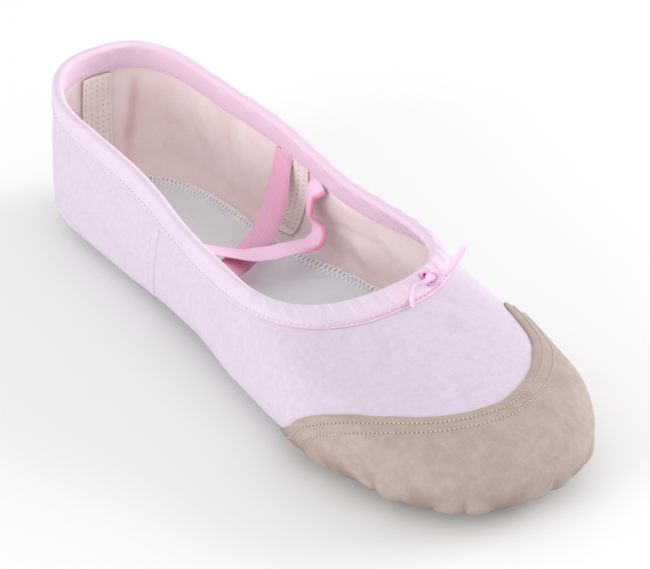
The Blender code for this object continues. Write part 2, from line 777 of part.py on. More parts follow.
def make_drawstring_end(name, table, lies):
    """One free end of the drawstring; one that lies follows the binding."""
    points = knot_centre() + np.array(table)
    if lies:
        points = skin(points, np.full(len(points), 2 * GAP + BINDING_KNIT + CORD_THICK / 2))
    path = place(smooth_path(points, 6))
    curve = bpy.data.curves.new(name, "CURVE")
    curve.dimensions = "3D"
    curve.bevel_depth = CORD_THICK / 2
    curve.bevel_resolution = 2
    curve.use_fill_caps = True
    spline = curve.splines.new("POLY")
    spline.points.add(len(path) - 1)
    for point, where in zip(spline.points, path):
        point.co = (*where, 1.0)
    obj = bpy.data.objects.new(name, curve)
    bpy.context.collection.objects.link(obj)
    paint(obj, KNIT)


def main():
    for old in list(bpy.data.objects):
        bpy.data.objects.remove(old, do_unlink=True)
    make_upper()
    make_toe_cap()
    make_sole_patch("sole_front", FRONT_PATCH, CAP_STAND + GAP + EASE)
    make_sole_patch("sole_heel", HEEL_PATCH, GAP + EASE)
    make_binding()
    make_insole()
    make_back_tape()
    make_side_tape("side_tape_left", -1.0)
    make_side_tape("side_tape_right", 1.0)
    make_elastic("elastic_rear", REAR_ELASTIC)
    make_elastic("elastic_front", FRONT_ELASTIC)
    make_knot()
    make_drawstring_end("drawstring_long", LONG_END, False)
    make_drawstring_end("drawstring_short", SHORT_END, True)


main()
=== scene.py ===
import math

import bmesh
import bpy
import numpy as np
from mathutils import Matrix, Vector


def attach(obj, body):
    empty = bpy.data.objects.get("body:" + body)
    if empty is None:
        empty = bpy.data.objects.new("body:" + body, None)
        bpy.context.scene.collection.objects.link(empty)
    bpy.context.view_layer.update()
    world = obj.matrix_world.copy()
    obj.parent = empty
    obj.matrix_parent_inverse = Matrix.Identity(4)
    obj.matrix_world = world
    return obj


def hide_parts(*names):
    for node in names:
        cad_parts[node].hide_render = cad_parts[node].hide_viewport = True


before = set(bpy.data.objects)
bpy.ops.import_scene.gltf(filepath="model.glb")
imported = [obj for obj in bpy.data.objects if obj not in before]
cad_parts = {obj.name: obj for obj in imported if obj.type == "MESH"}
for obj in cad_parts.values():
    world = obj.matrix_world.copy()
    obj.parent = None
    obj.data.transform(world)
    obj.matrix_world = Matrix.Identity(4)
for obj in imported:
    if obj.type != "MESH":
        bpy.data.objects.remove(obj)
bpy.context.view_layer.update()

# Sizes of the shoe in metres, the same as in the solids
shoe = {
    "length": 0.240,
    "ballWidth": 0.089,
    "heelWidth": 0.058,
    "heelHeight": 0.0565,
    "instepHeight": 0.066,
    "toeHeight": 0.0295,
    "girdleHeight": 0.015,
    "throatLength": 0.161,
    "heelRounding": 0.031,
    "toeRounding": 0.036,
    "archLift": 0.0030,
    "toeSpring": 0.0012,
    "treadDepth": 0.0016,
    "wall": 0.0014,
    "capLeather": 0.0008,
    "suede": 0.0014,
    "knit": 0.0008,
    "insoleBoard": 0.0020,
    "gap": 0.0003,
    "ease": 0.0002,
    "bindingOutside": 0.0090,
    "bindingInside": 0.0100,
    "crownPower": 2.35,
    "floorPower": 3.4,
    "endPower": 2.35,
}
seat = shoe["gap"] + shoe["ease"]  # the room between two layers outside the canvas
capStand = seat + shoe["capLeather"]
liningInset = shoe["wall"] + shoe["gap"]  # the lining's face, with room before the next layer
upperLength = shoe["length"] - capStand
heelRest = shoe["suede"] + seat
ballRest = heelRest + capStand
weldReach = 2e-6

# Sole patches: rows are the stitch rows, in from the rim; stand is the room above the patch
frontPatch = {"length": 0.075, "width": 0.052, "rear": 0.147, "turn": math.radians(9), "narrowing": 0.26,
              "rows": (0.0022, 0.0049), "stand": capStand + seat}
heelPatch = {"length": 0.049, "width": 0.038, "rear": 0.007, "turn": 0.0, "narrowing": -0.13,
             "rows": (0.0023,), "stand": seat}

# Sections of the last: share along, spread (0 heel width, 1 ball width), rise (0 toe, 1 instep), girdle
lastRows = (
    (0.00, -0.06, 1.74, 1.07),
    (0.12, 0.00, 1.63, 1.00),
    (0.28, 0.13, 1.47, 1.00),
    (0.45, 0.32, 1.00, 0.93),
    (0.60, 0.77, 0.54, 0.93),
    (0.74, 1.00, 0.10, 1.00),
    (0.88, 0.55, 0.00, 1.03),
    (1.00, 0.13, -0.10, 0.87),
)
# Topline: share of the throat length, rise (0 throat, 1 heel)
toplineRows = ((0.00, 1.00), (0.18, 0.66), (0.42, 0.55), (0.68, 0.06), (0.92, 0.00), (1.00, 0.00))
# Fan of the threads: share of the girth line, share of the collar line
fanRows = ((0.00, 0.00), (0.16, 0.21), (0.35, 0.47), (0.49, 0.64), (0.70, 0.80), (0.85, 0.90), (1.00, 1.00))
# Edge of the toe cap: share of the girth line, reach at -X, reach at +X
capEdgeRows = (
    (0.588, 1.860, 1.860),
    (0.622, 1.660, 1.690),
    (0.648, 1.370, 1.400),
    (0.664, 1.20, 1.18),
    (0.676, 1.07, 1.02),
    (0.690, 0.99, 0.89),
    (0.718, 0.87, 0.69),
    (0.748, 0.78, 0.60),
    (0.778, 0.72, 0.56),
    (0.84, 0.645, 0.58),
    (0.90, 0.62, 0.59),
    (1.00, 0.64, 0.64),
)


def curveThrough(rows, column, where):
    # monotone curve through one column of a table
    xs = np.array([row[0] for row in rows])
    ys = np.array([row[column] for row in rows])
    where = np.clip(np.asarray(where, float), xs[0], xs[-1])
    steps = np.diff(xs)
    slopes = np.diff(ys) / steps
    tangents = np.zeros(len(xs))
    tangents[0], tangents[-1] = slopes[0], slopes[-1]
    for i in range(1, len(xs) - 1):
        before, after = slopes[i - 1], slopes[i]
        if before * after > 0:
            near = 2 * steps[i] + steps[i - 1]
            far = steps[i] + 2 * steps[i - 1]
            tangents[i] = (near + far) / (near / before + far / after)
    k = np.clip(np.searchsorted(xs, where, side="right") - 1, 0, len(xs) - 2)
    t = (where - xs[k]) / steps[k]
    return (
        ys[k] * (1 + 2 * t) * (1 - t) ** 2
        + tangents[k] * steps[k] * t * (1 - t) ** 2
        + ys[k + 1] * t ** 2 * (3 - 2 * t)
        + tangents[k + 1] * steps[k] * t ** 2 * (t - 1)
    )


def ramp(low, high, value):
    t = np.clip((value - low) / (high - low), 0, 1)
    return t * t * (3 - 2 * t)


def floorHeight(along):
    heelEnd = heelPatch["rear"] + heelPatch["length"]
    ballStart = frontPatch["rear"]
    toeEnd = ballStart + frontPatch["length"]
    rows = (
        (0.0, heelRest),
        (heelEnd, heelRest),
        ((heelEnd + ballStart) / 2, heelRest + shoe["archLift"]),
        (ballStart, ballRest),
        (toeEnd, ballRest),
        (shoe["length"], ballRest + shoe["toeSpring"]),
    )
    return curveThrough(rows, 1, along)


def lastSection(along):
    share = np.asarray(along) / upperLength
    ball = shoe["ballWidth"] - 2 * capStand
    halfWidth = (shoe["heelWidth"] + (ball - shoe["heelWidth"]) * curveThrough(lastRows, 1, share)) / 2
    crown = shoe["toeHeight"] + (shoe["instepHeight"] - shoe["toeHeight"]) * curveThrough(lastRows, 2, share)
    girdle = shoe["girdleHeight"] * curveThrough(lastRows, 3, share)
    return halfWidth, girdle, crown, floorHeight(along)


def closing(along):
    heel = np.clip((shoe["heelRounding"] - along) / shoe["heelRounding"], 0, 1)
    toe = np.clip((along - upperLength + shoe["toeRounding"]) / shoe["toeRounding"], 0, 1)
    power = shoe["endPower"]
    heelEnd = np.clip(1 - heel ** power, 0, 1) ** (1 / power)
    toeEnd = np.clip(1 - toe ** power, 0, 1) ** (1 / power)
    return np.maximum(heelEnd * toeEnd, 1e-4)


def level(points):
    # under 1 inside the last, 1 on its surface
    x, along, z = points[..., 0], points[..., 1], points[..., 2]
    halfWidth, girdle, crown, floor = lastSection(along)
    end = closing(along)
    above = z >= girdle
    height = np.where(above, crown - girdle, girdle - floor + shoe["treadDepth"])
    power = np.where(above, shoe["crownPower"], shoe["floorPower"])
    outside = np.maximum(-along, 0) + np.maximum(along - upperLength, 0)
    value = (np.abs(x) / (halfWidth * end)) ** power + (np.abs(z - girdle) / (height * end)) ** power
    return np.minimum(value, 1e6) + outside * 1e5


def spine(points):
    along = np.clip(points[..., 1], shoe["heelRounding"], upperLength - shoe["toeRounding"])
    return np.stack([np.zeros_like(along), along, lastSection(along)[1]], -1)


def unit(vectors):
    return vectors / np.maximum(np.linalg.norm(vectors, axis=-1, keepdims=True), 1e-12)


def lastNormals(points):
    step = 2e-5
    slope = np.zeros_like(points)
    for axis in range(3):
        shift = np.zeros(3)
        shift[axis] = step
        slope[..., axis] = level(points + shift) - level(points - shift)
    slope = unit(slope)
    slope[points[..., 2] <= floorHeight(points[..., 1]) + 1e-7] = (0, 0, -1)
    return slope


def flatten(points):
    flat = points.copy()
    flat[..., 2] = np.maximum(flat[..., 2], floorHeight(flat[..., 1]))
    return flat


def skin(points):
    # surface point on the ray from the spine, and the outward direction there
    start = spine(points)
    ray = unit(points - start)
    low = np.zeros(ray.shape[:-1])
    high = np.full(ray.shape[:-1], shoe["length"])
    for _ in range(26):
        middle = (low + high) / 2
        inside = level(start + ray * middle[..., None]) < 1
        low = np.where(inside, middle, low)
        high = np.where(inside, high, middle)
    surface = flatten(start + ray * middle[..., None])
    return surface, lastNormals(surface)


def underside(across, along):
    halfWidth, girdle, _, floor = lastSection(along)
    end = closing(along)
    power = shoe["floorPower"]
    ratio = np.clip(np.abs(across) / (halfWidth * end), 0, 1)
    depth = (girdle - floor + shoe["treadDepth"]) * end * (1 - ratio ** power) ** (1 / power)
    surface = flatten(np.stack([across, along, girdle - depth], -1))
    return surface, lastNormals(surface)


def sideWall(side, along, height):
    halfWidth, girdle, crown, floor = lastSection(along)
    end = closing(along)
    above = height >= girdle
    tall = np.where(above, crown - girdle, girdle - floor + shoe["treadDepth"])
    power = np.where(above, shoe["crownPower"], shoe["floorPower"])
    ratio = np.clip(np.abs(height - girdle) / (tall * end), 0, 1)
    across = side * halfWidth * end * (1 - ratio ** power) ** (1 / power)
    surface = np.stack([across, along + 0 * height, height + 0 * along], -1)
    return surface, lastNormals(surface)


def collarHeight(along):
    throat = lastSection(np.array(shoe["throatLength"]))[2]
    rise = curveThrough(toplineRows, 1, np.asarray(along) / shoe["throatLength"])
    return throat + (shoe["heelHeight"] - throat) * rise


def walk(path):
    # distance walked to each point of a path
    return np.concatenate([[0.0], np.cumsum(np.linalg.norm(np.diff(path, axis=0), axis=1))])


def pointAt(path, walked, where):
    return np.stack([np.interp(where, walked, path[:, axis]) for axis in range(path.shape[1])], -1)


def readCurve(curve, share):
    walked = walk(curve)
    return pointAt(curve, walked, np.asarray(share) * walked[-1])


def eased(low, high, count):
    # places between two ends, closer together near the ends
    return low + (high - low) * (1 - np.cos(np.linspace(0, np.pi, count))) / 2


def halfGirdle():
    along = eased(0.0, upperLength, lineSamples)
    halfWidth, girdle = lastSection(along)[:2]
    across = halfWidth * closing(along)
    across[0] = across[-1] = 0.0
    return np.stack([across, along, girdle], -1)


def halfCollar():
    along = eased(0.0, shoe["throatLength"], lineSamples)
    line = sideWall(1.0, along, collarHeight(along))[0]
    line[-1, 0] = 0.0
    first = int(np.argmax(line[:, 0] > 0))
    return line[first - 1:]


lineSamples = 600
girdleLine = halfGirdle()
collarLine = halfCollar()


def around(turn):
    turn = np.mod(np.asarray(turn, float), 1.0)
    return np.where(turn < 0.5, -1.0, 1.0), 1 - np.abs(2 * turn - 1)


def bySide(rows, turn):
    # a table with one column for -X and one for +X, read round the shoe
    side, share = around(turn)
    return np.where(side < 0, curveThrough(rows, 1, share), curveThrough(rows, 2, share))


def threadEnds(turn):
    side, share = around(turn)
    mirror = np.stack([side, np.ones_like(side), np.ones_like(side)], -1)
    top = readCurve(collarLine, curveThrough(fanRows, 1, share)) * mirror
    girdle = readCurve(girdleLine, share) * mirror
    bottom = spine(girdle)
    bottom[..., 2] = floorHeight(bottom[..., 1])
    return top, girdle, bottom


def thread(turn, reach):
    # turn 0 heel, 0.5 toe; reach 0 collar, 1 widest line, 2 under the middle
    turn, reach = np.broadcast_arrays(np.asarray(turn, float), np.asarray(reach, float))
    top, girdle, bottom = threadEnds(turn)
    middle = spine(girdle)
    down = np.clip(reach, 0, 1)[..., None]
    angle = np.clip(reach - 1, 0, 1)[..., None] * np.pi / 2
    wall = top + (girdle - top) * down
    power = 2 / shoe["floorPower"]
    under = middle + (girdle - middle) * np.cos(angle) ** power + (bottom - middle) * np.sin(angle) ** power
    return skin(np.where(reach[..., None] <= 1, wall, under))


def depthToReach(turn, depth):
    top, girdle = threadEnds(turn)[:2]
    return depth / np.linalg.norm(girdle - top, axis=-1)


def place(points):
    world = np.array(points, float)
    world[..., 1] = shoe["length"] / 2 - world[..., 1]
    return world


# Camera at the photograph's angle
cameraView = {"azimuth": -36.4, "elevation": 33.2, "distance": 0.90, "lens": 156.0, "aim": (0.0075, 0.017)}


def makeCamera():
    a, e = math.radians(cameraView["azimuth"]), math.radians(cameraView["elevation"])
    back = Vector((math.sin(a) * math.cos(e), -math.cos(a) * math.cos(e), math.sin(e)))
    right = Vector((math.cos(a), math.sin(a), 0))
    up = back.cross(right)
    target = right * cameraView["aim"][0] + up * cameraView["aim"][1]
    data = bpy.data.cameras.new("camera")
    data.lens = cameraView["lens"]
    data.sensor_width = 36
    camera = bpy.data.objects.new("camera", data)
    bpy.context.collection.objects.link(camera)
    camera.location = back * cameraView["distance"]
    camera.rotation_mode = "QUATERNION"
    camera.rotation_quaternion = (target - camera.location).to_track_quat("-Z", "Y")
    bpy.context.scene.camera = camera


makeCamera()
print("camera placed")


def srgb(r, g, b):
    values = [v / 255 for v in (r, g, b)]
    return tuple(v / 12.92 if v <= 0.04045 else ((v + 0.055) / 1.055) ** 2.4 for v in values) + (1.0,)


def newGroup(name, inputs, outputs):
    # a shared effect: inputs with their usual values, and the kinds of its outputs
    group = bpy.data.node_groups.new(name, "ShaderNodeTree")
    for label, value in inputs.items():
        kind = "NodeSocketColor" if isinstance(value, tuple) else "NodeSocketFloat"
        group.interface.new_socket(name=label, in_out="INPUT", socket_type=kind).default_value = value
    for label, kind in outputs.items():
        group.interface.new_socket(name=label, in_out="OUTPUT", socket_type="NodeSocket" + kind)
    return group, group.nodes.new("NodeGroupInput"), group.nodes.new("NodeGroupOutput")


def setInputs(tree, node, inputs):
    # each input takes a value, or a wire from another node's output
    for label, value in inputs.items():
        if isinstance(value, bpy.types.NodeSocket):
            tree.links.new(value, node.inputs[label])
        else:
            node.inputs[label].default_value = value


def addNode(tree, kind, inputs, **settings):
    node = tree.nodes.new("ShaderNode" + kind)
    for label, value in settings.items():
        setattr(node, label, value)
    setInputs(tree, node, inputs)
    return node


def calculate(tree, operation, *values):
    return addNode(tree, "Math", dict(enumerate(values)), operation=operation).outputs[0]


def mottleGroup():
    # soft patches of lighter and darker dye over a base colour
    group, entry, leave = newGroup(
        "dyeMottle",
        {"Colour": (1, 1, 1, 1), "Shade": (0.5, 0.5, 0.5, 1), "Scale": 60.0, "Amount": 0.3},
        {"Colour": "Color", "Mask": "Float"},
    )
    spot = addNode(group, "TexCoord", {})
    noise = addNode(group, "TexNoise", {"Detail": 5.0, "Roughness": 0.72, "Vector": spot.outputs["Object"],
                                        "Scale": entry.outputs["Scale"]})
    spread = addNode(group, "MapRange", {"From Min": 0.35, "From Max": 0.68, "Value": noise.outputs["Fac"]})
    amount = calculate(group, "MULTIPLY", spread.outputs["Result"], entry.outputs["Amount"])
    mix = addNode(group, "Mix", {"Factor": amount, "A": entry.outputs["Colour"], "B": entry.outputs["Shade"]},
                  data_type="RGBA")
    setInputs(group, leave, {"Colour": mix.outputs["Result"], "Mask": spread.outputs["Result"]})
    return group


def weaveGroup():
    # crossing threads along the two directions of the cloth's own map, in millimetres
    group, entry, leave = newGroup(
        "clothWeave",
        {"Across": 0.5, "Down": 0.5, "Crossing": 1.0, "Unevenness": 0.4},
        {"Height": "Float", "Shade": "Float"},
    )
    cloth = addNode(group, "UVMap", {}, uv_map="clothMap")
    wobble = addNode(group, "TexNoise", {"Scale": 0.9, "Detail": 3.0, "Vector": cloth.outputs["UV"]})
    split = addNode(group, "SeparateXYZ", {"Vector": cloth.outputs["UV"]})
    shift = calculate(group, "MULTIPLY", wobble.outputs["Fac"], entry.outputs["Unevenness"])
    waves = []
    for axis, size in (("X", "Across"), ("Y", "Down")):
        rounds = calculate(group, "DIVIDE", split.outputs[axis], entry.outputs[size])
        rounds = calculate(group, "ADD", rounds, shift)
        waves.append(calculate(group, "SINE", calculate(group, "MULTIPLY", rounds, 2 * math.pi)))
    crossed = calculate(group, "MULTIPLY", waves[1], entry.outputs["Crossing"])
    plain = calculate(group, "SUBTRACT", 1.0, entry.outputs["Crossing"])
    height = calculate(group, "MULTIPLY", waves[0], calculate(group, "ADD", crossed, plain))
    height = calculate(group, "ADD", calculate(group, "MULTIPLY", height, 0.5), 0.5)
    setInputs(group, leave, {"Height": height, "Shade": wobble.outputs["Fac"]})
    return group


def grainGroup():
    # fine nap or grain, in the object's own space
    group, entry, leave = newGroup(
        "surfaceGrain",
        {"Fine": 2500.0, "Coarse": 500.0, "Blend": 0.5},
        {"Height": "Float", "Shade": "Float"},
    )
    spot = addNode(group, "TexCoord", {})
    layers = []
    for size, detail in (("Fine", 3.0), ("Coarse", 6.0)):
        noise = addNode(group, "TexNoise", {"Vector": spot.outputs["Object"], "Scale": entry.outputs[size],
                                            "Detail": detail, "Roughness": 0.6})
        layers.append(noise.outputs["Fac"])
    mix = addNode(group, "Mix", {"Factor": entry.outputs["Blend"], "A": layers[0], "B": layers[1]})
    setInputs(group, leave, {"Height": mix.outputs["Result"], "Shade": layers[1]})
    return group


mottle = mottleGroup()
weave = weaveGroup()
grain = grainGroup()


def clothMaterial(name, recipe):
    # base colour, its darker dye, an optional colour mixed in by the piece's map of tint and painted shade,
    # and a relief
    material = bpy.data.materials.new(name)
    material.use_nodes = True
    tree = material.node_tree
    shade = srgb(*recipe["shade"])
    dye = addNode(tree, "Group", {
        "Colour": srgb(*recipe["colour"]),
        "Shade": shade,
        "Scale": recipe.get("mottleScale", 70.0),
        "Amount": recipe.get("mottle", 0.5),
    }, node_tree=mottle)
    colour = dye.outputs["Colour"]
    # the mixed-in colour is painted shade on most pieces: in creases and hollows, and on faces that get less
    # light
    if "tintAndPaintedShade" in recipe:
        tintAndPaintedShade = addNode(tree, "Attribute", {}, attribute_name="tintAndPaintedShade")
        warm = {"Factor": tintAndPaintedShade.outputs["Fac"], "A": colour, "B": srgb(*recipe["tintAndPaintedShade"])}
        colour = addNode(tree, "Mix", warm, data_type="RGBA").outputs["Result"]
    if "weave" in recipe:
        across, down = recipe["weave"]
        surface = addNode(tree, "Group", {
            "Across": across,
            "Down": down,
            "Crossing": recipe.get("crossing", 1.0),
            "Unevenness": recipe.get("unevenness", 0.4),
        }, node_tree=weave)
    else:
        fine, coarse = recipe["grain"]
        surface = addNode(tree, "Group", {"Fine": fine, "Coarse": coarse}, node_tree=grain)
    height = surface.outputs["Height"]
    speck = calculate(tree, "MULTIPLY", height, recipe.get("speck", 0.12))
    speckled = addNode(tree, "Mix", {"Factor": speck, "A": colour, "B": shade}, data_type="RGBA",
                       blend_type="MULTIPLY")
    bump = addNode(tree, "Bump", {
        "Strength": recipe.get("bump", 0.5),
        "Distance": recipe.get("depth", 0.0001),
        "Height": height,
    })
    shader = tree.nodes["Principled BSDF"]
    setInputs(tree, shader, {
        "Roughness": recipe.get("roughness", 0.9),
        "Specular IOR Level": 0.25,
        "Base Color": speckled.outputs["Result"],
        "Normal": bump.outputs["Normal"],
    })
    if "sheen" in recipe:
        setInputs(tree, shader, {"Sheen Weight": recipe["sheen"], "Sheen Roughness": 0.5})
    return material


elasticYarn = {"weave": (0.8, 1.1), "crossing": 0.25, "speck": 0.5, "unevenness": 0.05, "bump": 0.7,
               "depth": 0.0002, "roughness": 0.6}
finishes = {
    "canvas": {"colour": (215, 203, 217), "shade": (199, 185, 202), "tintAndPaintedShade": (206, 178, 198),
               "weave": (0.7, 0.7), "speck": 0.32, "sheen": 0.1, "mottleScale": 480.0},
    # lining: the deep pink mixed in along its crease valleys is painted shade
    "lining": {"colour": (250, 242, 240), "shade": (243, 221, 218), "tintAndPaintedShade": (212, 148, 151),
               "weave": (0.9, 0.9), "speck": 0.2, "mottle": 0.7, "mottleScale": 60.0, "bump": 0.3},
    # capLeather: the darker brown mixed in between the gathers is painted shade
    "capLeather": {"colour": (191, 177, 170), "shade": (175, 160, 152), "tintAndPaintedShade": (158, 138, 130),
                   "grain": (2600.0, 420.0), "speck": 0.6, "bump": 0.7, "roughness": 0.85, "mottle": 0.8,
                   "mottleScale": 160.0},
    "suede": {"colour": (196, 212, 208), "shade": (176, 196, 192), "grain": (3200.0, 700.0), "speck": 0.5,
              "bump": 0.9, "roughness": 0.97, "sheen": 0.3},
    # knit: the pinker tone mixed in on the casing's inside and, less, on its +X outside is painted shade
    "knit": {"colour": (219, 206, 221), "shade": (212, 196, 213), "tintAndPaintedShade": (242, 212, 232),
             "weave": (0.9, 0.6), "speck": 0.3, "sheen": 0.1},
    "insoleFelt": {"colour": (232, 236, 238), "shade": (217, 222, 226), "tintAndPaintedShade": (226, 228, 230),
                   "grain": (2400.0, 500.0), "speck": 0.3},
    "twill": {"colour": (255, 249, 244), "shade": (246, 233, 226), "weave": (1.0, 0.6), "speck": 0.3,
              "unevenness": 0.15, "bump": 0.8, "depth": 0.0002},
    "elasticFront": {"colour": (255, 230, 250), "shade": (252, 210, 238), "tintAndPaintedShade": (232, 120, 158),
                     **elasticYarn},
    # elasticRear: a darker, pinker copy of the front elastic's colours, painted shade
    "elasticRear": {"colour": (242, 198, 222), "shade": (237, 180, 208), "tintAndPaintedShade": (222, 108, 142),
                    **elasticYarn},
    "cordKnit": {"colour": (240, 208, 232), "shade": (238, 194, 224), "grain": (3000.0, 1200.0),
                 "roughness": 0.7},
    "slitShade": {"colour": (176, 52, 84), "shade": (156, 40, 70), "grain": (3000.0, 1200.0)},
}
threadColours = {
    # colour, darker dye
    "paleThread": ((226, 232, 230), (206, 214, 212)),
    # pinhole: dark dots painted for the shade inside the needle holes
    "pinhole": ((128, 106, 97), (112, 92, 84)),
    "tanThread": ((202, 190, 183), (188, 174, 166)),
    "creamThread": ((232, 214, 206), (214, 192, 184)),
    "canvasThread": ((226, 206, 224), (216, 192, 214)),
    "seamShade": ((206, 178, 202), (192, 162, 188)),
    "pinkThread": ((240, 198, 226), (232, 180, 214)),
    # deepPinkThread: painted shade, the dark line along the casing's edge at the throat
    "deepPinkThread": ((240, 184, 210), (234, 168, 198)),
    "edgeThread": ((252, 252, 252), (240, 241, 242)),
}
for name, (colour, shade) in threadColours.items():
    finishes[name] = {"colour": colour, "shade": shade, "grain": (4000.0, 1500.0)}
materials = {name: clothMaterial(name, recipe) for name, recipe in finishes.items()}
print("materials made")


def gridQuads(rows, columns, start=0, closedRows=False, closedColumns=False):
    i = np.arange(rows if closedRows else rows - 1)[:, None]
    j = np.arange(columns if closedColumns else columns - 1)[None, :]
    k, m = (i + 1) % rows, (j + 1) % columns
    quads = np.stack([i * columns + j, i * columns + m, k * columns + m, k * columns + j], -1)
    return start + quads.reshape(-1, 4)


def makePiece(name, vertices, faces, finish, replaced=(), clothMap=None, tintAndPaintedShade=None, faceFinish=None,
              weld=0.0, angle=50.0):
    mesh = bpy.data.meshes.new(name)
    mesh.from_pydata(place(np.asarray(vertices)).tolist(), [], [tuple(f) for f in faces])
    finishNames = [finish] if isinstance(finish, str) else list(finish)
    for each in finishNames:
        mesh.materials.append(materials[each])
    if faceFinish is not None:
        mesh.polygons.foreach_set("material_index", np.asarray(faceFinish, dtype=np.int32))
    if clothMap is not None:
        layer = mesh.uv_layers.new(name="clothMap")
        corner = np.zeros(len(mesh.loops), dtype=np.int32)
        mesh.loops.foreach_get("vertex_index", corner)
        layer.data.foreach_set("uv", np.asarray(clothMap, dtype=np.float32)[corner].ravel())
    if tintAndPaintedShade is not None:
        layer = mesh.attributes.new("tintAndPaintedShade", "FLOAT", "POINT")
        layer.data.foreach_set("value", np.asarray(tintAndPaintedShade, dtype=np.float32).ravel())
    shape = bmesh.new()
    shape.from_mesh(mesh)
    if weld:
        bmesh.ops.remove_doubles(shape, verts=shape.verts, dist=weld)
    bmesh.ops.recalc_face_normals(shape, faces=shape.faces)
    shape.to_mesh(mesh)
    shape.free()
    mesh.shade_smooth()
    mesh.set_sharp_from_angle(angle=math.radians(angle))
    piece = bpy.data.objects.new(name, mesh)
    bpy.context.collection.objects.link(piece)
    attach(piece, "root")
    if replaced:
        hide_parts(*replaced)


# Soft troughs (depth under 0) and ridges, each between two points of the shoe:
# x as a share of half the ball width, along as a share of the length, z as a share of the heel height
foldRows = (
    # x1, along1, z1, x2, along2, z2, half width in m, depth in m
    (-0.64, 0.16, 0.26, -0.66, 0.36, 0.20, 0.0045, -0.0007),
    (-0.60, 0.10, 0.42, -0.68, 0.30, 0.36, 0.0060, 0.0004),
    (0.35, 0.71, 0.62, 0.62, 0.76, 0.40, 0.0030, -0.0005),
    (0.10, 0.73, 0.62, 0.30, 0.79, 0.52, 0.0028, -0.0004),
    (-0.30, 0.72, 0.62, -0.52, 0.80, 0.44, 0.0032, -0.0005),
    (-0.10, 0.84, 0.54, -0.28, 0.92, 0.42, 0.0035, -0.0004),
    (-0.62, 0.084, 0.21, -0.66, 0.212, 0.62, 0.0022, -0.0004),
    (-0.72, 0.46, 0.44, -0.86, 0.62, 0.20, 0.0050, -0.0006),
    (-0.76, 0.42, 0.30, -0.84, 0.55, 0.14, 0.0040, 0.0004),
    (0.66, 0.16, 0.26, 0.68, 0.36, 0.20, 0.0045, -0.0006),
    (0.72, 0.46, 0.44, 0.88, 0.62, 0.20, 0.0050, -0.0006),
    (0.20, 0.02, 0.30, 0.55, 0.08, 0.26, 0.0040, -0.0005),
    (-0.20, 0.02, 0.52, -0.50, 0.07, 0.50, 0.0040, -0.0004),
)


def folds(points, rows):
    scale = np.array([shoe["ballWidth"] / 2, shoe["length"], shoe["heelHeight"]])
    height = np.zeros(points.shape[:-1])
    for x1, s1, z1, x2, s2, z2, width, depth in rows:
        start = np.array([x1, s1, z1]) * scale
        run = np.array([x2, s2, z2]) * scale - start
        share = np.clip(((points - start) @ run) / (run @ run), 0, 1)
        away = np.linalg.norm(points - start - share[..., None] * run, axis=-1)
        height += depth * np.exp(-(away / width) ** 2) * (0.55 + 0.45 * np.sin(np.pi * share))
    return height


def relief(points, rows=foldRows):
    # the folds and a slight ripple of the cloth
    x, along, z = points[..., 0], points[..., 1], points[..., 2]
    ripple = np.sin(along * 310 + z * 170) * np.sin(z * 260 - x * 210)
    return folds(points, rows) + 0.00012 * ripple * ramp(0.003, 0.012, z)


def raised(surface, outward, clearance):
    # a layer at a clearance from the last, with the folds of the canvas
    return surface + outward * np.asarray(clearance + relief(surface))[..., None]


def onSkin(turn, depth, clearance):
    # points a distance below the collar, on the layer at that clearance
    surface, outward = thread(turn, depthToReach(np.asarray(turn, float), depth))
    return raised(surface, outward, clearance), outward


def wrapShell(outer, inner, closedRound, closedEnd):
    # vertices and faces of a shell of two matching grids, joined at its first row and its open sides
    rows, columns = outer.shape[:2]
    count = rows * columns
    vertices = np.concatenate([outer.reshape(-1, 3), inner.reshape(-1, 3)])
    front = gridQuads(rows, columns, closedColumns=closedRound)
    back = gridQuads(rows, columns, count, closedColumns=closedRound)[:, ::-1]
    index = np.arange(count).reshape(rows, columns)
    if closedRound:
        strips = [np.append(index[0], index[0, 0])]
    else:
        strips = [index[0], index[:, 0], index[:, -1]]
    if closedEnd:
        strips.append(index[-1])
    rims = [np.stack([strip[:-1], strip[1:], strip[1:] + count, strip[:-1] + count], -1) for strip in strips]
    return vertices, front, back, np.concatenate(rims)


def makeShell(name, outer, inner, finish, replaced, clothMap=None, tintAndPaintedShade=None, closedRound=False,
              closedEnd=False, weld=0.0):
    # a piece between two matching grids; where it has two finishes, the second is the inner grid's
    vertices, front, back, rims = wrapShell(outer, inner, closedRound, closedEnd)
    faceFinish = None
    if not isinstance(finish, str):
        faceFinish = np.repeat([0, 1, 0], [len(front), len(back), len(rims)])
    if clothMap is not None:
        clothMap = np.tile(clothMap.reshape(-1, 2), (2, 1))
    faces = np.concatenate([front, back, rims])
    makePiece(name, vertices, faces, finish, (replaced,), clothMap, tintAndPaintedShade, faceFinish, weld)


def tube(path, normal, radius, sides=6, ends=0.55):
    # one closed tube along a path; radius may change along it
    path = np.asarray(path)
    count = len(path)
    tangent = unit(np.gradient(path, axis=0))
    side = unit(np.cross(tangent, normal))
    lift = np.cross(side, tangent)
    radii = np.full(count, radius) if np.isscalar(radius) else np.asarray(radius)
    radii = radii * np.where((np.arange(count) == 0) | (np.arange(count) == count - 1), ends, 1.0)
    angle = np.arange(sides) * 2 * np.pi / sides
    ring = side[:, None] * np.cos(angle)[None, :, None] + lift[:, None] * np.sin(angle)[None, :, None]
    vertices = (path[:, None] + ring * radii[:, None, None]).reshape(-1, 3)
    faces = gridQuads(count, sides, closedColumns=True).tolist()
    faces += [range(sides), range((count - 1) * sides, count * sides)]
    return vertices, faces


def gather(parts):
    # several vertex and face lists as one
    vertices, faces, start = [], [], 0
    for points, polygons in parts:
        vertices.append(points)
        faces += [tuple(int(v) + start for v in f) for f in polygons]
        start += len(points)
    return np.concatenate(vertices), faces


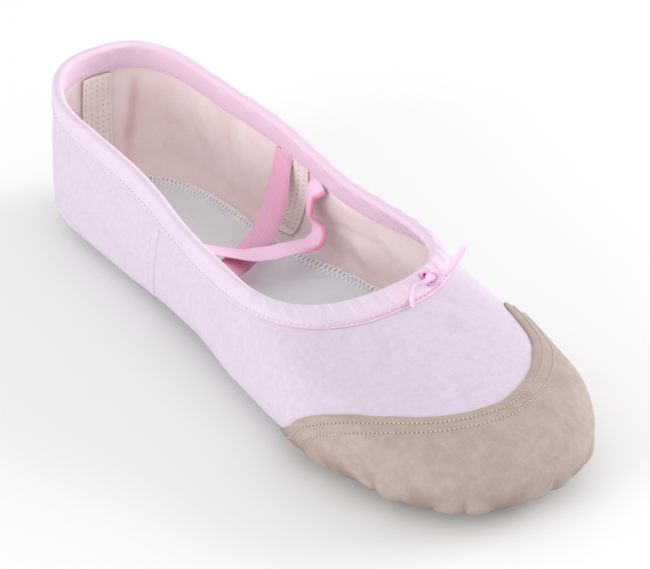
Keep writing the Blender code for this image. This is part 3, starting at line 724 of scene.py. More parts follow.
def stitches(path, normal, pitch, thick, filled=0.72, sink=0.6, lift=0.25, samples=5):
    # short threads that rise from the cloth and dip back into it
    walked = walk(path)
    count = max(1, int(round(walked[-1] / pitch)))
    step = walked[-1] / count
    parts = []
    for i in range(count):
        where = np.linspace(i * step, (i + filled) * step, samples)
        points = pointAt(path, walked, where)
        outward = unit(pointAt(normal, walked, where))
        arch = np.sin(np.linspace(0, np.pi, samples)) * (lift + sink) - sink
        points = points + outward * (arch * thick)[:, None]
        parts.append(tube(points, outward, thick / 2))
    return parts


def sew(name, parts, finish):
    vertices, faces = gather(parts)
    makePiece(name, vertices, faces, finish)


# Drawstring: one cord from the tip of its long end, round the knot, to the tip of its short end
drawstring = {
    "thick": 0.0020,
    "turnRadius": 0.00165,
    "knotTurn": 0.5600,  # place round the collar
    "knotDepth": 0.0057,  # below the collar line
    "knotStand": 0.0017,  # above the binding
    "endStand": 0.0003,
    "axis": (0.75, -0.65, 0.0),  # the line that the knot's round turn is wound about
    "climb": 0.0013,
    "points": 64,
    # from the knot, m: aside, forward, up
    "longEnd": (
        (0.0100, 0.0024, 0.0090),
        (0.0086, 0.0025, 0.0071),
        (0.0066, 0.0025, 0.0049),
        (0.0048, 0.0022, 0.0030),
        (0.0032, 0.0015, 0.0013),
    ),
    "shortEnd": (
        (-0.0028, -0.0012, 0.0006),
        (-0.0052, -0.0014, 0.0004),
        (-0.0080, -0.0004, 0.0000),
        (-0.0104, 0.0018, -0.0012),
        (-0.0122, 0.0050, -0.0028),
    ),
}


def knotCentre():
    turn = np.array(drawstring["knotTurn"])
    return onSkin(turn, drawstring["knotDepth"], shoe["gap"] + shoe["knit"] + drawstring["knotStand"])


def smoothPath(points, count):
    walked = walk(points)
    where = np.linspace(0, walked[-1], count)
    curves = []
    for axis in range(points.shape[1]):
        curves.append(curveThrough(list(zip(walked, points[:, axis])), 1, where))
    return np.stack(curves, -1)


def makeDrawstring():
    centre, outward = knotCentre()
    longEnd = centre + np.array(drawstring["longEnd"])
    shortEnd = centre + np.array(drawstring["shortEnd"])
    surface, away = skin(shortEnd)
    shortEnd = surface + away * (shoe["gap"] + shoe["knit"] + drawstring["endStand"])
    axis = unit(np.array(drawstring["axis"]))
    axis = unit(axis - outward * (axis @ outward))
    side = np.cross(outward, axis)
    angle = np.linspace(-0.25 * np.pi, 1.9 * np.pi, 12)
    climb = np.linspace(drawstring["climb"], -drawstring["climb"], 12)
    wound = outward * np.cos(angle)[:, None] + side * np.sin(angle)[:, None]
    turn = centre + axis * climb[:, None] + wound * drawstring["turnRadius"]
    path = smoothPath(np.concatenate([longEnd, turn, shortEnd]), drawstring["points"])
    curve = bpy.data.curves.new("drawstring", "CURVE")
    curve.dimensions = "3D"
    curve.bevel_depth = drawstring["thick"] / 2
    curve.bevel_resolution = 4
    curve.use_fill_caps = True
    spline = curve.splines.new("POLY")
    spline.points.add(len(path) - 1)
    share = np.linspace(0, 1, len(path))
    radii = 1.0 - 0.42 * ramp(0.66, 0.80, share)
    radii[[0, -1]] *= 0.6
    for point, where, radius in zip(spline.points, place(path), radii):
        point.co = (*where, 1.0)
        point.radius = radius
    spline.use_smooth = True
    curve.materials.append(materials["cordKnit"])
    cord = bpy.data.objects.new("drawstring", curve)
    bpy.context.collection.objects.link(cord)
    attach(cord, "root")
    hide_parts("drawstring_knot", "drawstring_long", "drawstring_short")
    tuple(float(v) for v in place(centre))


makeDrawstring()

# Canvas upper with its lining, one wall
upperSizes = {"columns": 480, "wallRows": 46, "underRows": 18, "hem": 0.0011, "aroundMm": 520.0}
liningFolds = (
    (0.325, 0.022, 0.70, 0.25, 0.014, 0.16, 0.0028, -0.0018),
    (0.42, 0.034, 0.68, 0.40, 0.032, 0.18, 0.0024, 0.0015),
    (0.50, 0.055, 0.68, 0.47, 0.045, 0.20, 0.0018, -0.0017),
    (0.45, 0.040, 0.24, 0.60, 0.095, 0.17, 0.0013, -0.0012),
    (0.62, 0.118, 0.64, 0.61, 0.125, 0.36, 0.0050, 0.0014),
    (0.58, 0.090, 0.66, 0.58, 0.086, 0.40, 0.0030, -0.0007),
    (0.63, 0.172, 0.62, 0.61, 0.168, 0.24, 0.0030, -0.0008),
    (0.64, 0.220, 0.58, 0.64, 0.215, 0.26, 0.0050, 0.0013),
    (0.66, 0.285, 0.52, 0.66, 0.300, 0.16, 0.0022, -0.0006),
    (0.68, 0.375, 0.34, 0.74, 0.480, 0.37, 0.0024, -0.0013),
    (0.68, 0.400, 0.54, 0.73, 0.470, 0.52, 0.0036, 0.0013),
    (0.70, 0.415, 0.26, 0.75, 0.450, 0.16, 0.0024, -0.0009),
    (0.72, 0.440, 0.40, 0.78, 0.480, 0.16, 0.0046, 0.0016),
    (0.74, 0.490, 0.38, 0.80, 0.550, 0.16, 0.0024, -0.0013),
    (0.78, 0.560, 0.38, 0.88, 0.610, 0.20, 0.0060, 0.0016),
    (0.66, 0.640, 0.40, 0.74, 0.660, 0.22, 0.0030, -0.0012),
    (-0.30, 0.015, 0.70, -0.30, 0.020, 0.16, 0.0016, -0.0012),
    (-0.44, 0.045, 0.66, -0.44, 0.050, 0.18, 0.0034, 0.0013),
    (-0.56, 0.090, 0.66, -0.56, 0.100, 0.18, 0.0018, -0.0014),
    (-0.62, 0.150, 0.60, -0.62, 0.165, 0.16, 0.0046, 0.0014),
    (-0.66, 0.230, 0.54, -0.66, 0.250, 0.16, 0.0020, -0.0012),
    (-0.70, 0.420, 0.40, -0.76, 0.450, 0.14, 0.0024, -0.0012),
    (-0.74, 0.500, 0.38, -0.82, 0.560, 0.18, 0.0050, 0.0014),
)


def makeUpper():
    columns = upperSizes["columns"]
    turns = np.arange(columns) / columns
    first = depthToReach(turns, upperSizes["hem"])
    share = np.linspace(0, 1, upperSizes["wallRows"])[:, None] ** 0.9
    below = np.linspace(0, 1, upperSizes["underRows"] + 1)[1:, None] ** 0.8
    reach = np.concatenate([first + (1 - first) * share, 1 + below + 0 * turns])
    turn = np.broadcast_to(turns, reach.shape)
    surface, outward = thread(turn, reach)
    low = relief(surface)
    creases = relief(surface, liningFolds)
    inside = shoe["wall"] - low + np.clip(creases, -0.0010, 0.0018)
    stepDown = np.linalg.norm(np.diff(surface, axis=0), axis=-1)
    depthDown = np.concatenate([np.zeros((1, columns)), np.cumsum(stepDown, 0)])
    clothMap = np.stack([turn * upperSizes["aroundMm"], depthDown * 1000.0], -1)
    # painted shade: the lining's crease valleys take the deep pink, the canvas outside takes none
    tintAndPaintedShade = np.concatenate([0 * low.ravel(), 0.8 * ramp(0.0004, 0.0017, -creases).ravel()])
    makeShell("canvasUpper", surface + outward * low[..., None], surface - outward * inside[..., None],
              ("canvas", "lining"), "upper", clothMap, tintAndPaintedShade, closedRound=True, weld=weldReach)


makeUpper()
print("upper made")

# Leather toe cap, gathered round the front patch
cap = {"columns": 340, "rows": 74, "puff": 0.0017, "edgeStand": 0.00012, "edgeWidth": 0.0040}
# Broad soft folds on the cap's sides, as in the table of folds
capFolds = (
    (-0.912, 0.803, 0.310, -0.850, 0.848, 0.170, 0.0026, 0.0007),
    (-0.832, 0.864, 0.300, -0.765, 0.898, 0.175, 0.0030, 0.0009),
    (0.280, 0.968, 0.330, 0.120, 0.985, 0.160, 0.0024, 0.0007),
    (-0.080, 0.990, 0.270, -0.200, 0.985, 0.130, 0.0024, 0.0006),
)
# Pleat seams, degrees round the front patch from the toe; + towards -X
pleatAngles = (-150, -132, -117, -103, -90, -78, -67, -57, -47, -38, -29, -20, -11, -2, 7, 16, 26, 36, 46,
               57, 68, 80, 93, 107, 121, 136, 152)


def patchSpread(patch, across, along):
    along = along - patch["rear"] - patch["length"] / 2
    forward = across * math.sin(patch["turn"]) + along * math.cos(patch["turn"])
    sideways = across * math.cos(patch["turn"]) - along * math.sin(patch["turn"])
    lengthwise = forward / (patch["length"] / 2)
    widest = patch["width"] / 2 * (1 + patch["narrowing"] * np.clip(lengthwise, -1, 1))
    return np.hypot(lengthwise, sideways / widest), np.degrees(np.arctan2(-sideways, forward))


def patchOutline(patch, inset, angle):
    forward = (patch["length"] / 2 - inset) * np.cos(angle)
    sideways = (patch["width"] / 2 - inset) * np.sin(angle) * (1 + patch["narrowing"] * np.cos(angle))
    across = sideways * math.cos(patch["turn"]) + forward * math.sin(patch["turn"])
    along = forward * math.cos(patch["turn"]) - sideways * math.sin(patch["turn"])
    return across, along + patch["rear"] + patch["length"] / 2


def puffs(points):
    # rounded leather between the pleat seams, highest just outside the tread
    spread, angle = patchSpread(frontPatch, points[..., 0], points[..., 1])
    seams = np.array(pleatAngles)
    k = np.clip(np.searchsorted(seams, angle) - 1, 0, len(seams) - 2)
    share = np.clip((angle - seams[k]) / (seams[k + 1] - seams[k]), 0, 1)
    puff = np.sin(np.pi * share) ** 0.7
    inBand = ramp(0.98, 1.16, spread)
    highest = 0.0150 + 0.004 * np.sin(angle * 0.21)
    highest = highest - 0.003 * ramp(30, 80, angle) + 0.005 * ramp(10, 35, -angle)
    low = 1 - ramp(0.0025, highest, points[..., 2])
    reached = ramp(seams[0] - 4, seams[0] + 6, angle) * (1 - ramp(seams[-1] - 6, seams[-1] + 4, angle))
    return cap["puff"] * puff * inBand * low * reached * (0.58 + 0.42 * np.sin(k * 2.4))


def capTurns(count):
    firstTurn = capEdgeRows[0][0] / 2
    return np.linspace(firstTurn, 1 - firstTurn, count)


def capEdgePoints(count):
    turns = capTurns(count)
    return thread(turns, bySide(capEdgeRows, turns))


def capClearance(fromEdge):
    # under the leather: close to the canvas at the cap's edge, and the full room further in
    return cap["edgeStand"] + (seat - cap["edgeStand"]) * ramp(0.0, cap["edgeWidth"], fromEdge)


def edgeDistance(points):
    # how far inside the cap's edge a point lies, along straight lines
    line = capEdgePoints(260)[0]
    away = np.full(points.shape[:-1], 1.0)
    for start, finish in zip(line[:-1], line[1:]):
        run = finish - start
        share = np.clip(((points - start) @ run) / max(run @ run, 1e-12), 0, 1)
        away = np.minimum(away, np.linalg.norm(points - start - share[..., None] * run, axis=-1))
    return away


def makeToeCap():
    turns = capTurns(cap["columns"])
    edge = bySide(capEdgeRows, turns)
    reach = edge + (2 - edge) * np.linspace(0, 1, cap["rows"])[:, None] ** 1.1
    surface, outward = thread(np.broadcast_to(turns, reach.shape), reach)
    fromEdge = edgeDistance(surface)
    rise = puffs(surface) * ramp(0.001, 0.009, fromEdge) + folds(surface, capFolds)
    stand = capClearance(fromEdge)
    leather = shoe["capLeather"] * (0.45 + 0.55 * np.sqrt(np.clip(fromEdge / 0.0007, 0, 1)))
    spread = patchSpread(frontPatch, surface[..., 0], surface[..., 1])[0]
    # painted shade: darker brown in the hollows between the puffed gathers, low on the cap beside the tread
    valleyShade = (1 - ramp(0.0, 0.0005, rise)) * ramp(1.02, 1.14, spread)
    valleyShade = valleyShade * (1 - ramp(0.006, 0.016, surface[..., 2]))
    tintAndPaintedShade = np.concatenate([valleyShade.ravel(), 0 * valleyShade.ravel()])
    makeShell("toeCap", raised(surface, outward, stand + leather + rise), raised(surface, outward, stand),
              "capLeather", "toe_cap", tintAndPaintedShade=tintAndPaintedShade, weld=weldReach)


makeToeCap()
print("toe cap made")


patchShape = {"columns": 150, "rim": 0.0011, "groove": 0.00055, "swell": 0.00012}


def patchRelief(patch, inset):
    # thinner at the rounded rim and along each stitch row
    rim = np.sqrt(np.clip(1 - (1 - inset / patchShape["rim"]).clip(0, 1) ** 2, 0, 1))
    groove = sum(np.exp(-((inset - row) / patchShape["groove"]) ** 2) for row in patch["rows"])
    swell = patchShape["swell"] * (np.sin(np.pi * np.clip(inset / 0.020, 0, 1)) - 1)
    return shoe["suede"] * (0.35 + 0.65 * rim) - patchShape["groove"] * groove + swell


def makeSolePatch(name, patch, replaced):
    half = patch["width"] / 2
    inset = np.concatenate([np.linspace(0, 0.0062, 34), np.linspace(0.0072, half - 0.0002, 12), [half]])
    angle = np.arange(patchShape["columns"]) * 2 * np.pi / patchShape["columns"]
    across, along = patchOutline(patch, inset[:, None], angle)
    surface, outward = underside(across, along)
    thick = patchRelief(patch, inset)[:, None, None]
    makeShell(name, surface + outward * (patch["stand"] + thick), surface + outward * patch["stand"], "suede",
              replaced, closedRound=True, weld=weldReach)


makeSolePatch("frontSolePatch", frontPatch, "sole_front")
makeSolePatch("heelSolePatch", heelPatch, "sole_heel")
print("sole patches made")

# Knitted casing over the top edge
binding = {
    "columns": 720,
    "aroundMm": 420.0,
    "rollEdge": 0.0024,  # depth at which the roll over the top edge starts, outside and inside
    "rollTop": 0.0013,
    "rollPuff": 0.0004,
    "pucker": 0.00032,
    "stitchIn": 0.0009,
    "stitchPitch": 0.0019,
    "paleRows": 19,  # rows of the section in the paler colour, from the outer edge to the top of the roll
}
puckerRows = (
    # share of the way round from the heel along one side, pucker height for -X, for +X
    (0.00, 0.25, 0.35),
    (0.35, 0.10, 0.70),
    (0.60, 0.20, 0.90),
    (0.80, 0.70, 1.00),
    (1.00, 1.00, 1.00),
)


def puckers(turn):
    wave = np.sin(2 * np.pi * (turn * 47 + 0.4 * np.sin(turn * 31))) + 0.5 * np.sin(2 * np.pi * turn * 83)
    return binding["pucker"] * bySide(puckerRows, turn) * wave


def rolled(turn):
    # 0 where the casing lies flat at the heel, 1 where it is a full roll
    side, share = around(turn)
    return np.where(side < 0, ramp(0.45, 0.80, share), ramp(0.20, 0.55, share))


def bindingProfile(turns):
    # the section from its outer edge over the roll to its inner edge, and back along the canvas:
    # depth below the collar line, clearance, share of the puckers
    outside = shoe["gap"] + shoe["knit"]
    inside = -(liningInset + shoe["knit"])
    full = rolled(turns)
    profile = []
    for depth in np.linspace(shoe["bindingOutside"], binding["rollEdge"], 14):
        up = shoe["bindingOutside"] - depth
        dent = 0.25 * math.exp(-((up - binding["stitchIn"]) / 0.0005) ** 2)
        hug = 0.35 + 0.65 * float(ramp(0.0, 0.0030, up)) - dent
        puff = binding["rollPuff"] * math.sin(math.pi * depth / shoe["bindingOutside"])
        flat = 0.0002 + (outside - 0.0002) * float(ramp(0.0, 0.0055, up))
        profile.append((depth, flat + (outside * hug + puff - flat) * full, float(ramp(0.0, 0.004, up))))
    for angle in np.linspace(0, math.pi, 9):
        clearance = (outside + inside) / 2 + (outside - inside) / 2 * math.cos(angle)
        profile.append((binding["rollTop"] * (1 - math.sin(angle)), clearance, 0.7 * abs(math.cos(angle))))
    for depth in np.linspace(binding["rollEdge"], shoe["bindingInside"], 8):
        profile.append((depth, inside, -1.0))
    top = shoe["knit"] * 1.2
    return profile + [
        (shoe["bindingInside"], -liningInset, 0.0),
        (top, -liningInset, 0.0),
        (top, -shoe["wall"] / 2, 0.0),
        (top, shoe["gap"], 0.0),
        (shoe["bindingOutside"], 0.0001, 0.0),
    ]


def makeBinding():
    turns = np.arange(binding["columns"]) / binding["columns"]
    profile = bindingProfile(turns)
    wave = puckers(turns)
    rings, maps = [], []
    walkedDown, before = 0.0, profile[0]
    for row in profile:
        depth, clearance, strength = row
        points, outward = onSkin(turns, depth, clearance)
        fold = wave * strength * math.sin(math.pi * min(1.0, 0.25 + depth / shoe["bindingOutside"]))
        rings.append(points + outward * np.maximum(fold, -0.0001 if strength > 0 else -0.0003)[:, None])
        walkedDown += abs(depth - before[0]) + float(np.mean(np.abs(clearance - before[1])))
        maps.append(np.stack([turns * binding["aroundMm"], np.full(len(turns), walkedDown * 1000)], -1))
        before = row
    # painted shade: the inside and the +X outside take the pinker colour; the lit -X outside keeps the knit's
    # own colour
    tintAndPaintedShade = np.full((len(profile), len(turns)), 0.8)
    tintAndPaintedShade[:binding["paleRows"]] = np.where(around(turns)[0] < 0, 0.0, 0.3)
    faces = gridQuads(len(profile), len(turns), closedRows=True, closedColumns=True)
    makePiece("collarBinding", np.stack(rings).reshape(-1, 3), faces, "knit",
              ("collar_binding",), np.stack(maps).reshape(-1, 2), tintAndPaintedShade.ravel())


makeBinding()
print("binding made")

# Insole board with its overlocked edge
insole = {
    "fromHeel": 0.0065,
    "fromToe": 0.0075,
    "rows": 150,
    "around": 44,
    "curl": 0.55,  # how far the edge curls up, as a share of the board's thickness
    "curlWidth": 0.0045,
    "loopPitch": 0.0018,
    "loopWidth": 0.0054,
    "loopThick": 0.00068,
    # height of a loop from inside the board's edge to its inner end, as a share of the thickness
    "loopRise": (0.45, 1.00, 1.12, 1.13, 1.11, 0.9),
}
insoleRows = (
    # along, share of the last's half width
    (0.00, 0.80),
    (0.11, 0.82),
    (0.19, 0.85),
    (0.29, 0.77),
    (0.35, 0.69),
    (0.42, 0.75),
    (0.48, 0.85),
    (0.60, 0.87),
    (0.80, 0.85),
    (1.00, 0.85),
)


def insoleHalfWidth(along):
    last = upperLength - insole["fromToe"]
    halfWidth = lastSection(along)[0] * curveThrough(insoleRows, 1, along / upperLength)
    rear = np.clip(1 - (along - insole["fromHeel"]) / shoe["heelRounding"], 0, 1)
    front = np.clip(1 - (last - along) / shoe["toeRounding"], 0, 1)
    return halfWidth * np.sqrt(np.clip(1 - rear ** 2, 0, 1)) * np.sqrt(np.clip(1 - front ** 2, 0, 1))


def insolePoint(across, along, height):
    # height 0 on the underside of the board, 1 on its top
    surface, outward = underside(across, along)
    inset = liningInset + shoe["ease"] + shoe["insoleBoard"] * height
    return surface - outward * np.asarray(inset)[..., None], outward


def insoleEdge(count):
    along = eased(insole["fromHeel"], upperLength - insole["fromToe"], count)
    return insoleHalfWidth(along), along


def insoleCurl(fromEdge):
    return insole["curl"] * ramp(insole["curlWidth"], 0.0, fromEdge)


def makeInsole():
    halfWidth, along = insoleEdge(insole["rows"])
    angle = np.arange(insole["around"]) * 2 * np.pi / insole["around"]
    across = np.sign(np.cos(angle)) * np.abs(np.cos(angle)) ** 0.75
    height = 0.5 + 0.5 * np.sign(np.sin(angle)) * np.abs(np.sin(angle)) ** 0.22
    acrossGrid = halfWidth[:, None] * across
    alongGrid = np.broadcast_to(along[:, None], acrossGrid.shape)
    fromEdge = halfWidth[:, None] * (1 - np.abs(across))
    points = insolePoint(acrossGrid, alongGrid, height + insoleCurl(fromEdge))[0]
    faces = gridQuads(len(along), len(angle), closedColumns=True)
    makePiece("insoleBoard", points.reshape(-1, 3), faces, "insoleFelt", ("insole",),
              tintAndPaintedShade=ramp(0.0050, 0.0030, fromEdge).ravel(), weld=weldReach)


def makeOverlock():
    # loops of thread over the insole's edge, each slanting to the next
    half = np.stack(insoleEdge(400), -1)
    ring = np.concatenate([half, (half * (-1, 1))[::-1][1:-1], half[:1]])
    walked = walk(ring)
    count = int(walked[-1] / insole["loopPitch"])
    step = walked[-1] / count
    t = np.linspace(0, 1, len(insole["loopRise"]))
    parts = []
    for i in range(count):
        edge = pointAt(ring, walked, (i + 0.5) * step)
        run = unit(pointAt(ring, walked, (i + 0.5) * step + 1e-4) - edge)
        inward = np.array([-run[1], run[0]])
        centre = np.array([0.0, np.clip(edge[1], 0.04, 0.20)])
        if inward @ (centre - edge) < 0:
            inward = -inward
        for lean, reachIn in ((1, 1.0), (-1, 0.92)):
            across = t * insole["loopWidth"] * reachIn
            plan = edge + inward * (across - 0.0001)[:, None] + run * (lean * (t - 0.5) * step * 1.1)[:, None]
            points, outward = insolePoint(plan[:, 0], plan[:, 1], insole["loopRise"] + insoleCurl(across))
            parts.append(tube(points, -outward, insole["loopThick"] / 2, sides=5))
    sew("insoleOverlock", parts, "edgeThread")


makeInsole()
makeOverlock()
print("insole made")

# Twill tapes over the heel seam and the side seams, inside
tape = {
    "cloth": 0.0004,
    "rows": 40,
    "columns": 9,
    "backWidth": 0.0126,
    "backEnd": heelRest + liningInset + shoe["insoleBoard"] + shoe["girdleHeight"] / 2,
    "sideWidth": 0.0085,
    "sideAlong": {-1.0: 0.076, 1.0: 0.0805},
    "slant": {-1.0: 0.003, 1.0: 0.0075},
    "underBinding": shoe["bindingInside"] - 2 * shoe["gap"],  # where a tape starts, below the collar line
}


def backTapeSkin(across, height):
    # the wall under the heel seam's tape
    return skin(np.stack([across + 0 * height, 0 * across * height, height + 0 * across], -1))


def sideTapeSkin(side, across, share):
    # the wall under a side tape: across from its middle, share 0 at the binding, 1 at the insole
    along = tape["sideAlong"][side] + across
    highest = collarHeight(along) - tape["underBinding"]
    lowest = floorHeight(along) + liningInset + shoe["gap"]
    height = highest + (lowest - highest) * share
    return sideWall(side, along - tape["slant"][side] * share ** 1.5, height)


def makeTape(name, replaced, surface, outward, inset, across):
    clothMap = np.stack([across * 1000 + 0 * surface[..., 2], surface[..., 2] * 1000], -1)
    outer, inner = raised(surface, outward, -inset), raised(surface, outward, -inset - tape["cloth"])
    makeShell(name, outer, inner, "twill", replaced, clothMap, closedEnd=True)


def makeBackTape():
    height = np.linspace(shoe["heelHeight"] - tape["underBinding"], tape["backEnd"], tape["rows"])[:, None]
    across = np.linspace(-1, 1, tape["columns"]) * tape["backWidth"] / 2
    surface, outward = backTapeSkin(across, height)
    makeTape("backTape", "back_tape", surface, outward, liningInset + 2 * shoe["ease"], across)


def makeSideTape(name, side, replaced):
    across = np.linspace(-1, 1, tape["columns"]) * tape["sideWidth"] / 2
    surface, outward = sideTapeSkin(side, across, np.linspace(0, 1, tape["rows"])[:, None])
    makeTape(name, replaced, surface, outward, liningInset + shoe["ease"], across)


makeBackTape()
makeSideTape("sideTapeLeft", -1.0, "side_tape_left")
makeSideTape("sideTapeRight", 1.0, "side_tape_right")
print("tapes made")

# Slack elastics across the opening
elastic = {"width": 0.0082, "cloth": 0.0008, "cup": 0.0003, "tuck": 0.0014, "samples": 140, "across": 14}
rearElasticRows = (
    # across, share of the length along, drop as a share of the heel height, twist in degrees,
    # share of the face turned up and towards the front left
    (0.0, 0.305, 0.0, 0, 0.10),
    (0.043, 0.308, 0.140, 0, 0.20),
    (0.113, 0.320, 0.250, 0, 0.60),
    (0.32, 0.351, 0.368, 0, 0.95),
    (0.635, 0.397, 0.285, 0, 0.60),
    (0.84, 0.425, 0.145, 0, 0.20),
    (0.975, 0.442, 0.020, 0, 0.00),
    (1.0, 0.446, 0.0, 0, 0.00),
)
frontElasticRows = (
    (0.0, 0.382, 0.0, -10, 0.0),
    (0.012, 0.380, 0.012, -6, 0.0),
    (0.042, 0.369, 0.075, 18, 0.0),
    (0.059, 0.372, 0.190, 22, 0.0),
    (0.076, 0.392, 0.260, 10, 0.0),
    (0.153, 0.407, 0.298, 2, 0.0),
    (0.38, 0.408, 0.268, 0, 0.0),
    (0.50, 0.396, 0.275, 0, 0.0),
    (0.67, 0.378, 0.235, 0, 0.0),
    (0.965, 0.352, 0.080, 0, 0.0),
    (1.0, 0.350, 0.0, 0, 0.0),
)
frontLeft = np.array([-0.50, 0.67, 0.55])


def elasticEnd(side, along):
    height = float(collarHeight(along + elastic["width"] / 2)) - shoe["bindingInside"] + elastic["tuck"]
    surface, outward = sideWall(side, np.array(along), np.array(height))
    return surface - outward * (liningInset + elastic["cloth"] / 2)


def makeElastic(name, rows, replaced, shaded):
    start = elasticEnd(1.0, rows[0][1] * shoe["length"])
    finish = elasticEnd(-1.0, rows[-1][1] * shoe["length"])
    points = []
    for across, along, drop, twist, facing in rows:
        x = start[0] + (finish[0] - start[0]) * across
        z = start[2] + (finish[2] - start[2]) * across - drop * shoe["heelHeight"]
        points.append((x, along * shoe["length"], z, math.radians(twist) / 100, facing / 100))
    path = smoothPath(np.array(points), elastic["samples"])
    centre, twist, facing = path[:, :3], path[:, 3] * 100, path[:, 4:] * 100
    tangent = unit(np.gradient(centre, axis=0))
    flat = np.stack([-np.sin(twist), np.cos(twist), np.zeros(len(twist))], -1)
    width = unit(flat - tangent * (flat * tangent).sum(1, keepdims=True))
    width = unit(width * (1 - facing) + unit(np.cross(tangent, frontLeft)) * facing)
    face = np.cross(tangent, width)[:, None, :]
    share = np.linspace(-1, 1, elastic["across"])
    spread = share[None, :, None]
    body = centre[:, None, :] + width[:, None, :] * spread * elastic["width"] / 2
    body = body + face * elastic["cup"] * spread ** 2
    lift = face * elastic["cloth"] / 2 * (1 - 0.6 * np.abs(spread) ** 6)
    walked = walk(centre)
    clothMap = np.stack(np.broadcast_arrays(share * elastic["width"] * 500, walked[:, None] * 1000), -1)
    tintAndPaintedShade = np.tile(shaded(walked / walked[-1], share).ravel(), 2)
    makeShell(name, body + lift, body - lift, name, replaced, clothMap, tintAndPaintedShade, closedEnd=True)


def rearShade(along, across):
    # painted shadow in deep pink where the front elastic lies over it, and painted shade softly along its
    # front edge
    over = np.exp(-((along - 0.62) / 0.07) ** 2)[:, None] * 0.55
    return np.clip(over + 0.18 * ramp(0.5, 1.0, across)[None, :] + 0 * along[:, None], 0, 1)


def frontShade(along, across):
    # deep pink along the edge that turns away from the light, strongest on the upright stretch
    upright = (1 - ramp(0.28, 0.44, along))[:, None]
    return np.clip(upright * ramp(0.45, 0.95, across)[None, :] * 0.85, 0, 1)


makeElastic("elasticRear", rearElasticRows, "elastic_rear", rearShade)
makeElastic("elasticFront", frontElasticRows, "elastic_front", frontShade)
print("elastics made")

# Sewing: each row is short threads on the layer that it holds
sewing = {
    "samples": 900,
    "capRows": (0.0029, 0.0063),  # distance inside the cap's edge
    "capPitch": 0.00135,
    "capThread": 0.00036,
    "patchPitch": 0.0031,
    "patchThread": 0.00080,
    "seamAlong": 0.0868,
    "seamLean": 0.0044,  # how far the side seam leans to the heel on its way down
    "seamRowApart": 0.0040,
    "seamThick": 0.00044,
    "archSeam": (0.0575, 0.1450),  # between the two patches, along the shoe
    "tapePitch": 0.0021,
    "tapeThread": 0.0005,
    "backTapeRows": (-0.0050, -0.0025, 0.0, 0.0025, 0.0050),
    "sideTapeRows": (-0.0026, 0.0, 0.0026),
}


def sewCap():
    edge, outward = capEdgePoints(700)
    keep = edge[:, 2] > floorHeight(edge[:, 1]) + 0.0008
    edge, outward = edge[keep], outward[keep]
    tangent = unit(np.gradient(edge, axis=0))
    inward = np.cross(outward, tangent)
    if inward[len(inward) // 2, 1] < 0:
        inward = -inward
    parts, holes = [], []
    pitch, thick = sewing["capPitch"], sewing["capThread"]
    for distance in sewing["capRows"]:
        surface, away = skin(edge + inward * distance)
        line = raised(surface, away, capClearance(distance) + shoe["capLeather"])
        trim = 20 + int(distance * 5400)  # the rows end short of the cap's corners
        line, away = line[trim:-trim], away[trim:-trim]
        parts += stitches(line, away, pitch, thick * 1.5, filled=0.60)
        holes += stitches(line, away, pitch, thick, filled=0.90, sink=0.1, lift=0.0)
    sew("capStitches", parts, "tanThread")
    # the dark dots at the needle holes are painted shade
    sew("capPinholes", holes, "pinhole")


def sewPatch(name, patch):
    angle = np.linspace(0, 2 * np.pi, 361)
    parts = []
    for inset in patch["rows"]:
        across, along = patchOutline(patch, inset, angle)
        surface, away = underside(across, along)
        line = surface + away * (patch["stand"] + shoe["suede"] - 0.00045)
        parts += stitches(line, away, sewing["patchPitch"], sewing["patchThread"], filled=0.78, lift=0.0,
                          sink=0.5)
    sew(name, parts, "paleThread")


def sewBinding():
    depth = shoe["bindingOutside"] - binding["stitchIn"]
    # one thread all round; its colour turns pink and deep pink towards the throat as painted shade of the
    # casing's edge
    runs = (
        # name, from turn, to turn, thread colour with its painted shade, thickness, filled share
        ("bindingStitches", 0.572, 1.360, "canvasThread", 0.0004, 0.62),
        ("bindingStitchesSide", 0.360, 0.450, "pinkThread", 0.0004, 0.66),
        ("bindingStitchesFront", 0.450, 0.572, "deepPinkThread", 0.0005, 0.96),
    )
    for name, first, last, finish, thick, filled in runs:
        turns = np.linspace(first, last, sewing["samples"])
        line, away = onSkin(turns, depth, 0.00035 + 0.00022 * rolled(turns))
        row = stitches(line, away, binding["stitchPitch"], thick, filled=filled, lift=0.5)
        sew(name, row, finish)
    turns = np.linspace(0, 1, sewing["samples"])
    line, away = onSkin(turns, shoe["bindingInside"] - 0.0012, -(liningInset + shoe["knit"]))
    row = stitches(line, -away, binding["stitchPitch"], 0.0004, lift=0.5)
    sew("bindingStitchesInside", row, "pinkThread")


def seamLine(offset):
    # down one side, under the arch and up the other side, with the outward direction
    middle = sewing["seamAlong"] - offset
    high = float(collarHeight(middle)) - shoe["bindingOutside"] + 0.0004
    height = np.linspace(high, shoe["girdleHeight"] * 0.7, 60)
    lean = sewing["seamLean"] * (high - height) / (high - height[-1])
    left, leftAway = sideWall(-1.0, middle - lean, height)
    right, rightAway = sideWall(1.0, middle - lean, height)
    reach = abs(left[-1, 0]) * 0.995
    across = np.linspace(-reach, reach, 90)
    under, underAway = underside(across, np.full(90, middle - sewing["seamLean"]))
    away = np.concatenate([leftAway, underAway, rightAway[::-1]])
    return raised(np.concatenate([left, under, right[::-1]]), away, 0.0), away


def sewSeam(name, line, away):
    # a thin shaded line half sunk in the canvas
    sew(name, [tube(line - away * 0.0001, away, sewing["seamThick"] / 2)], "seamShade")


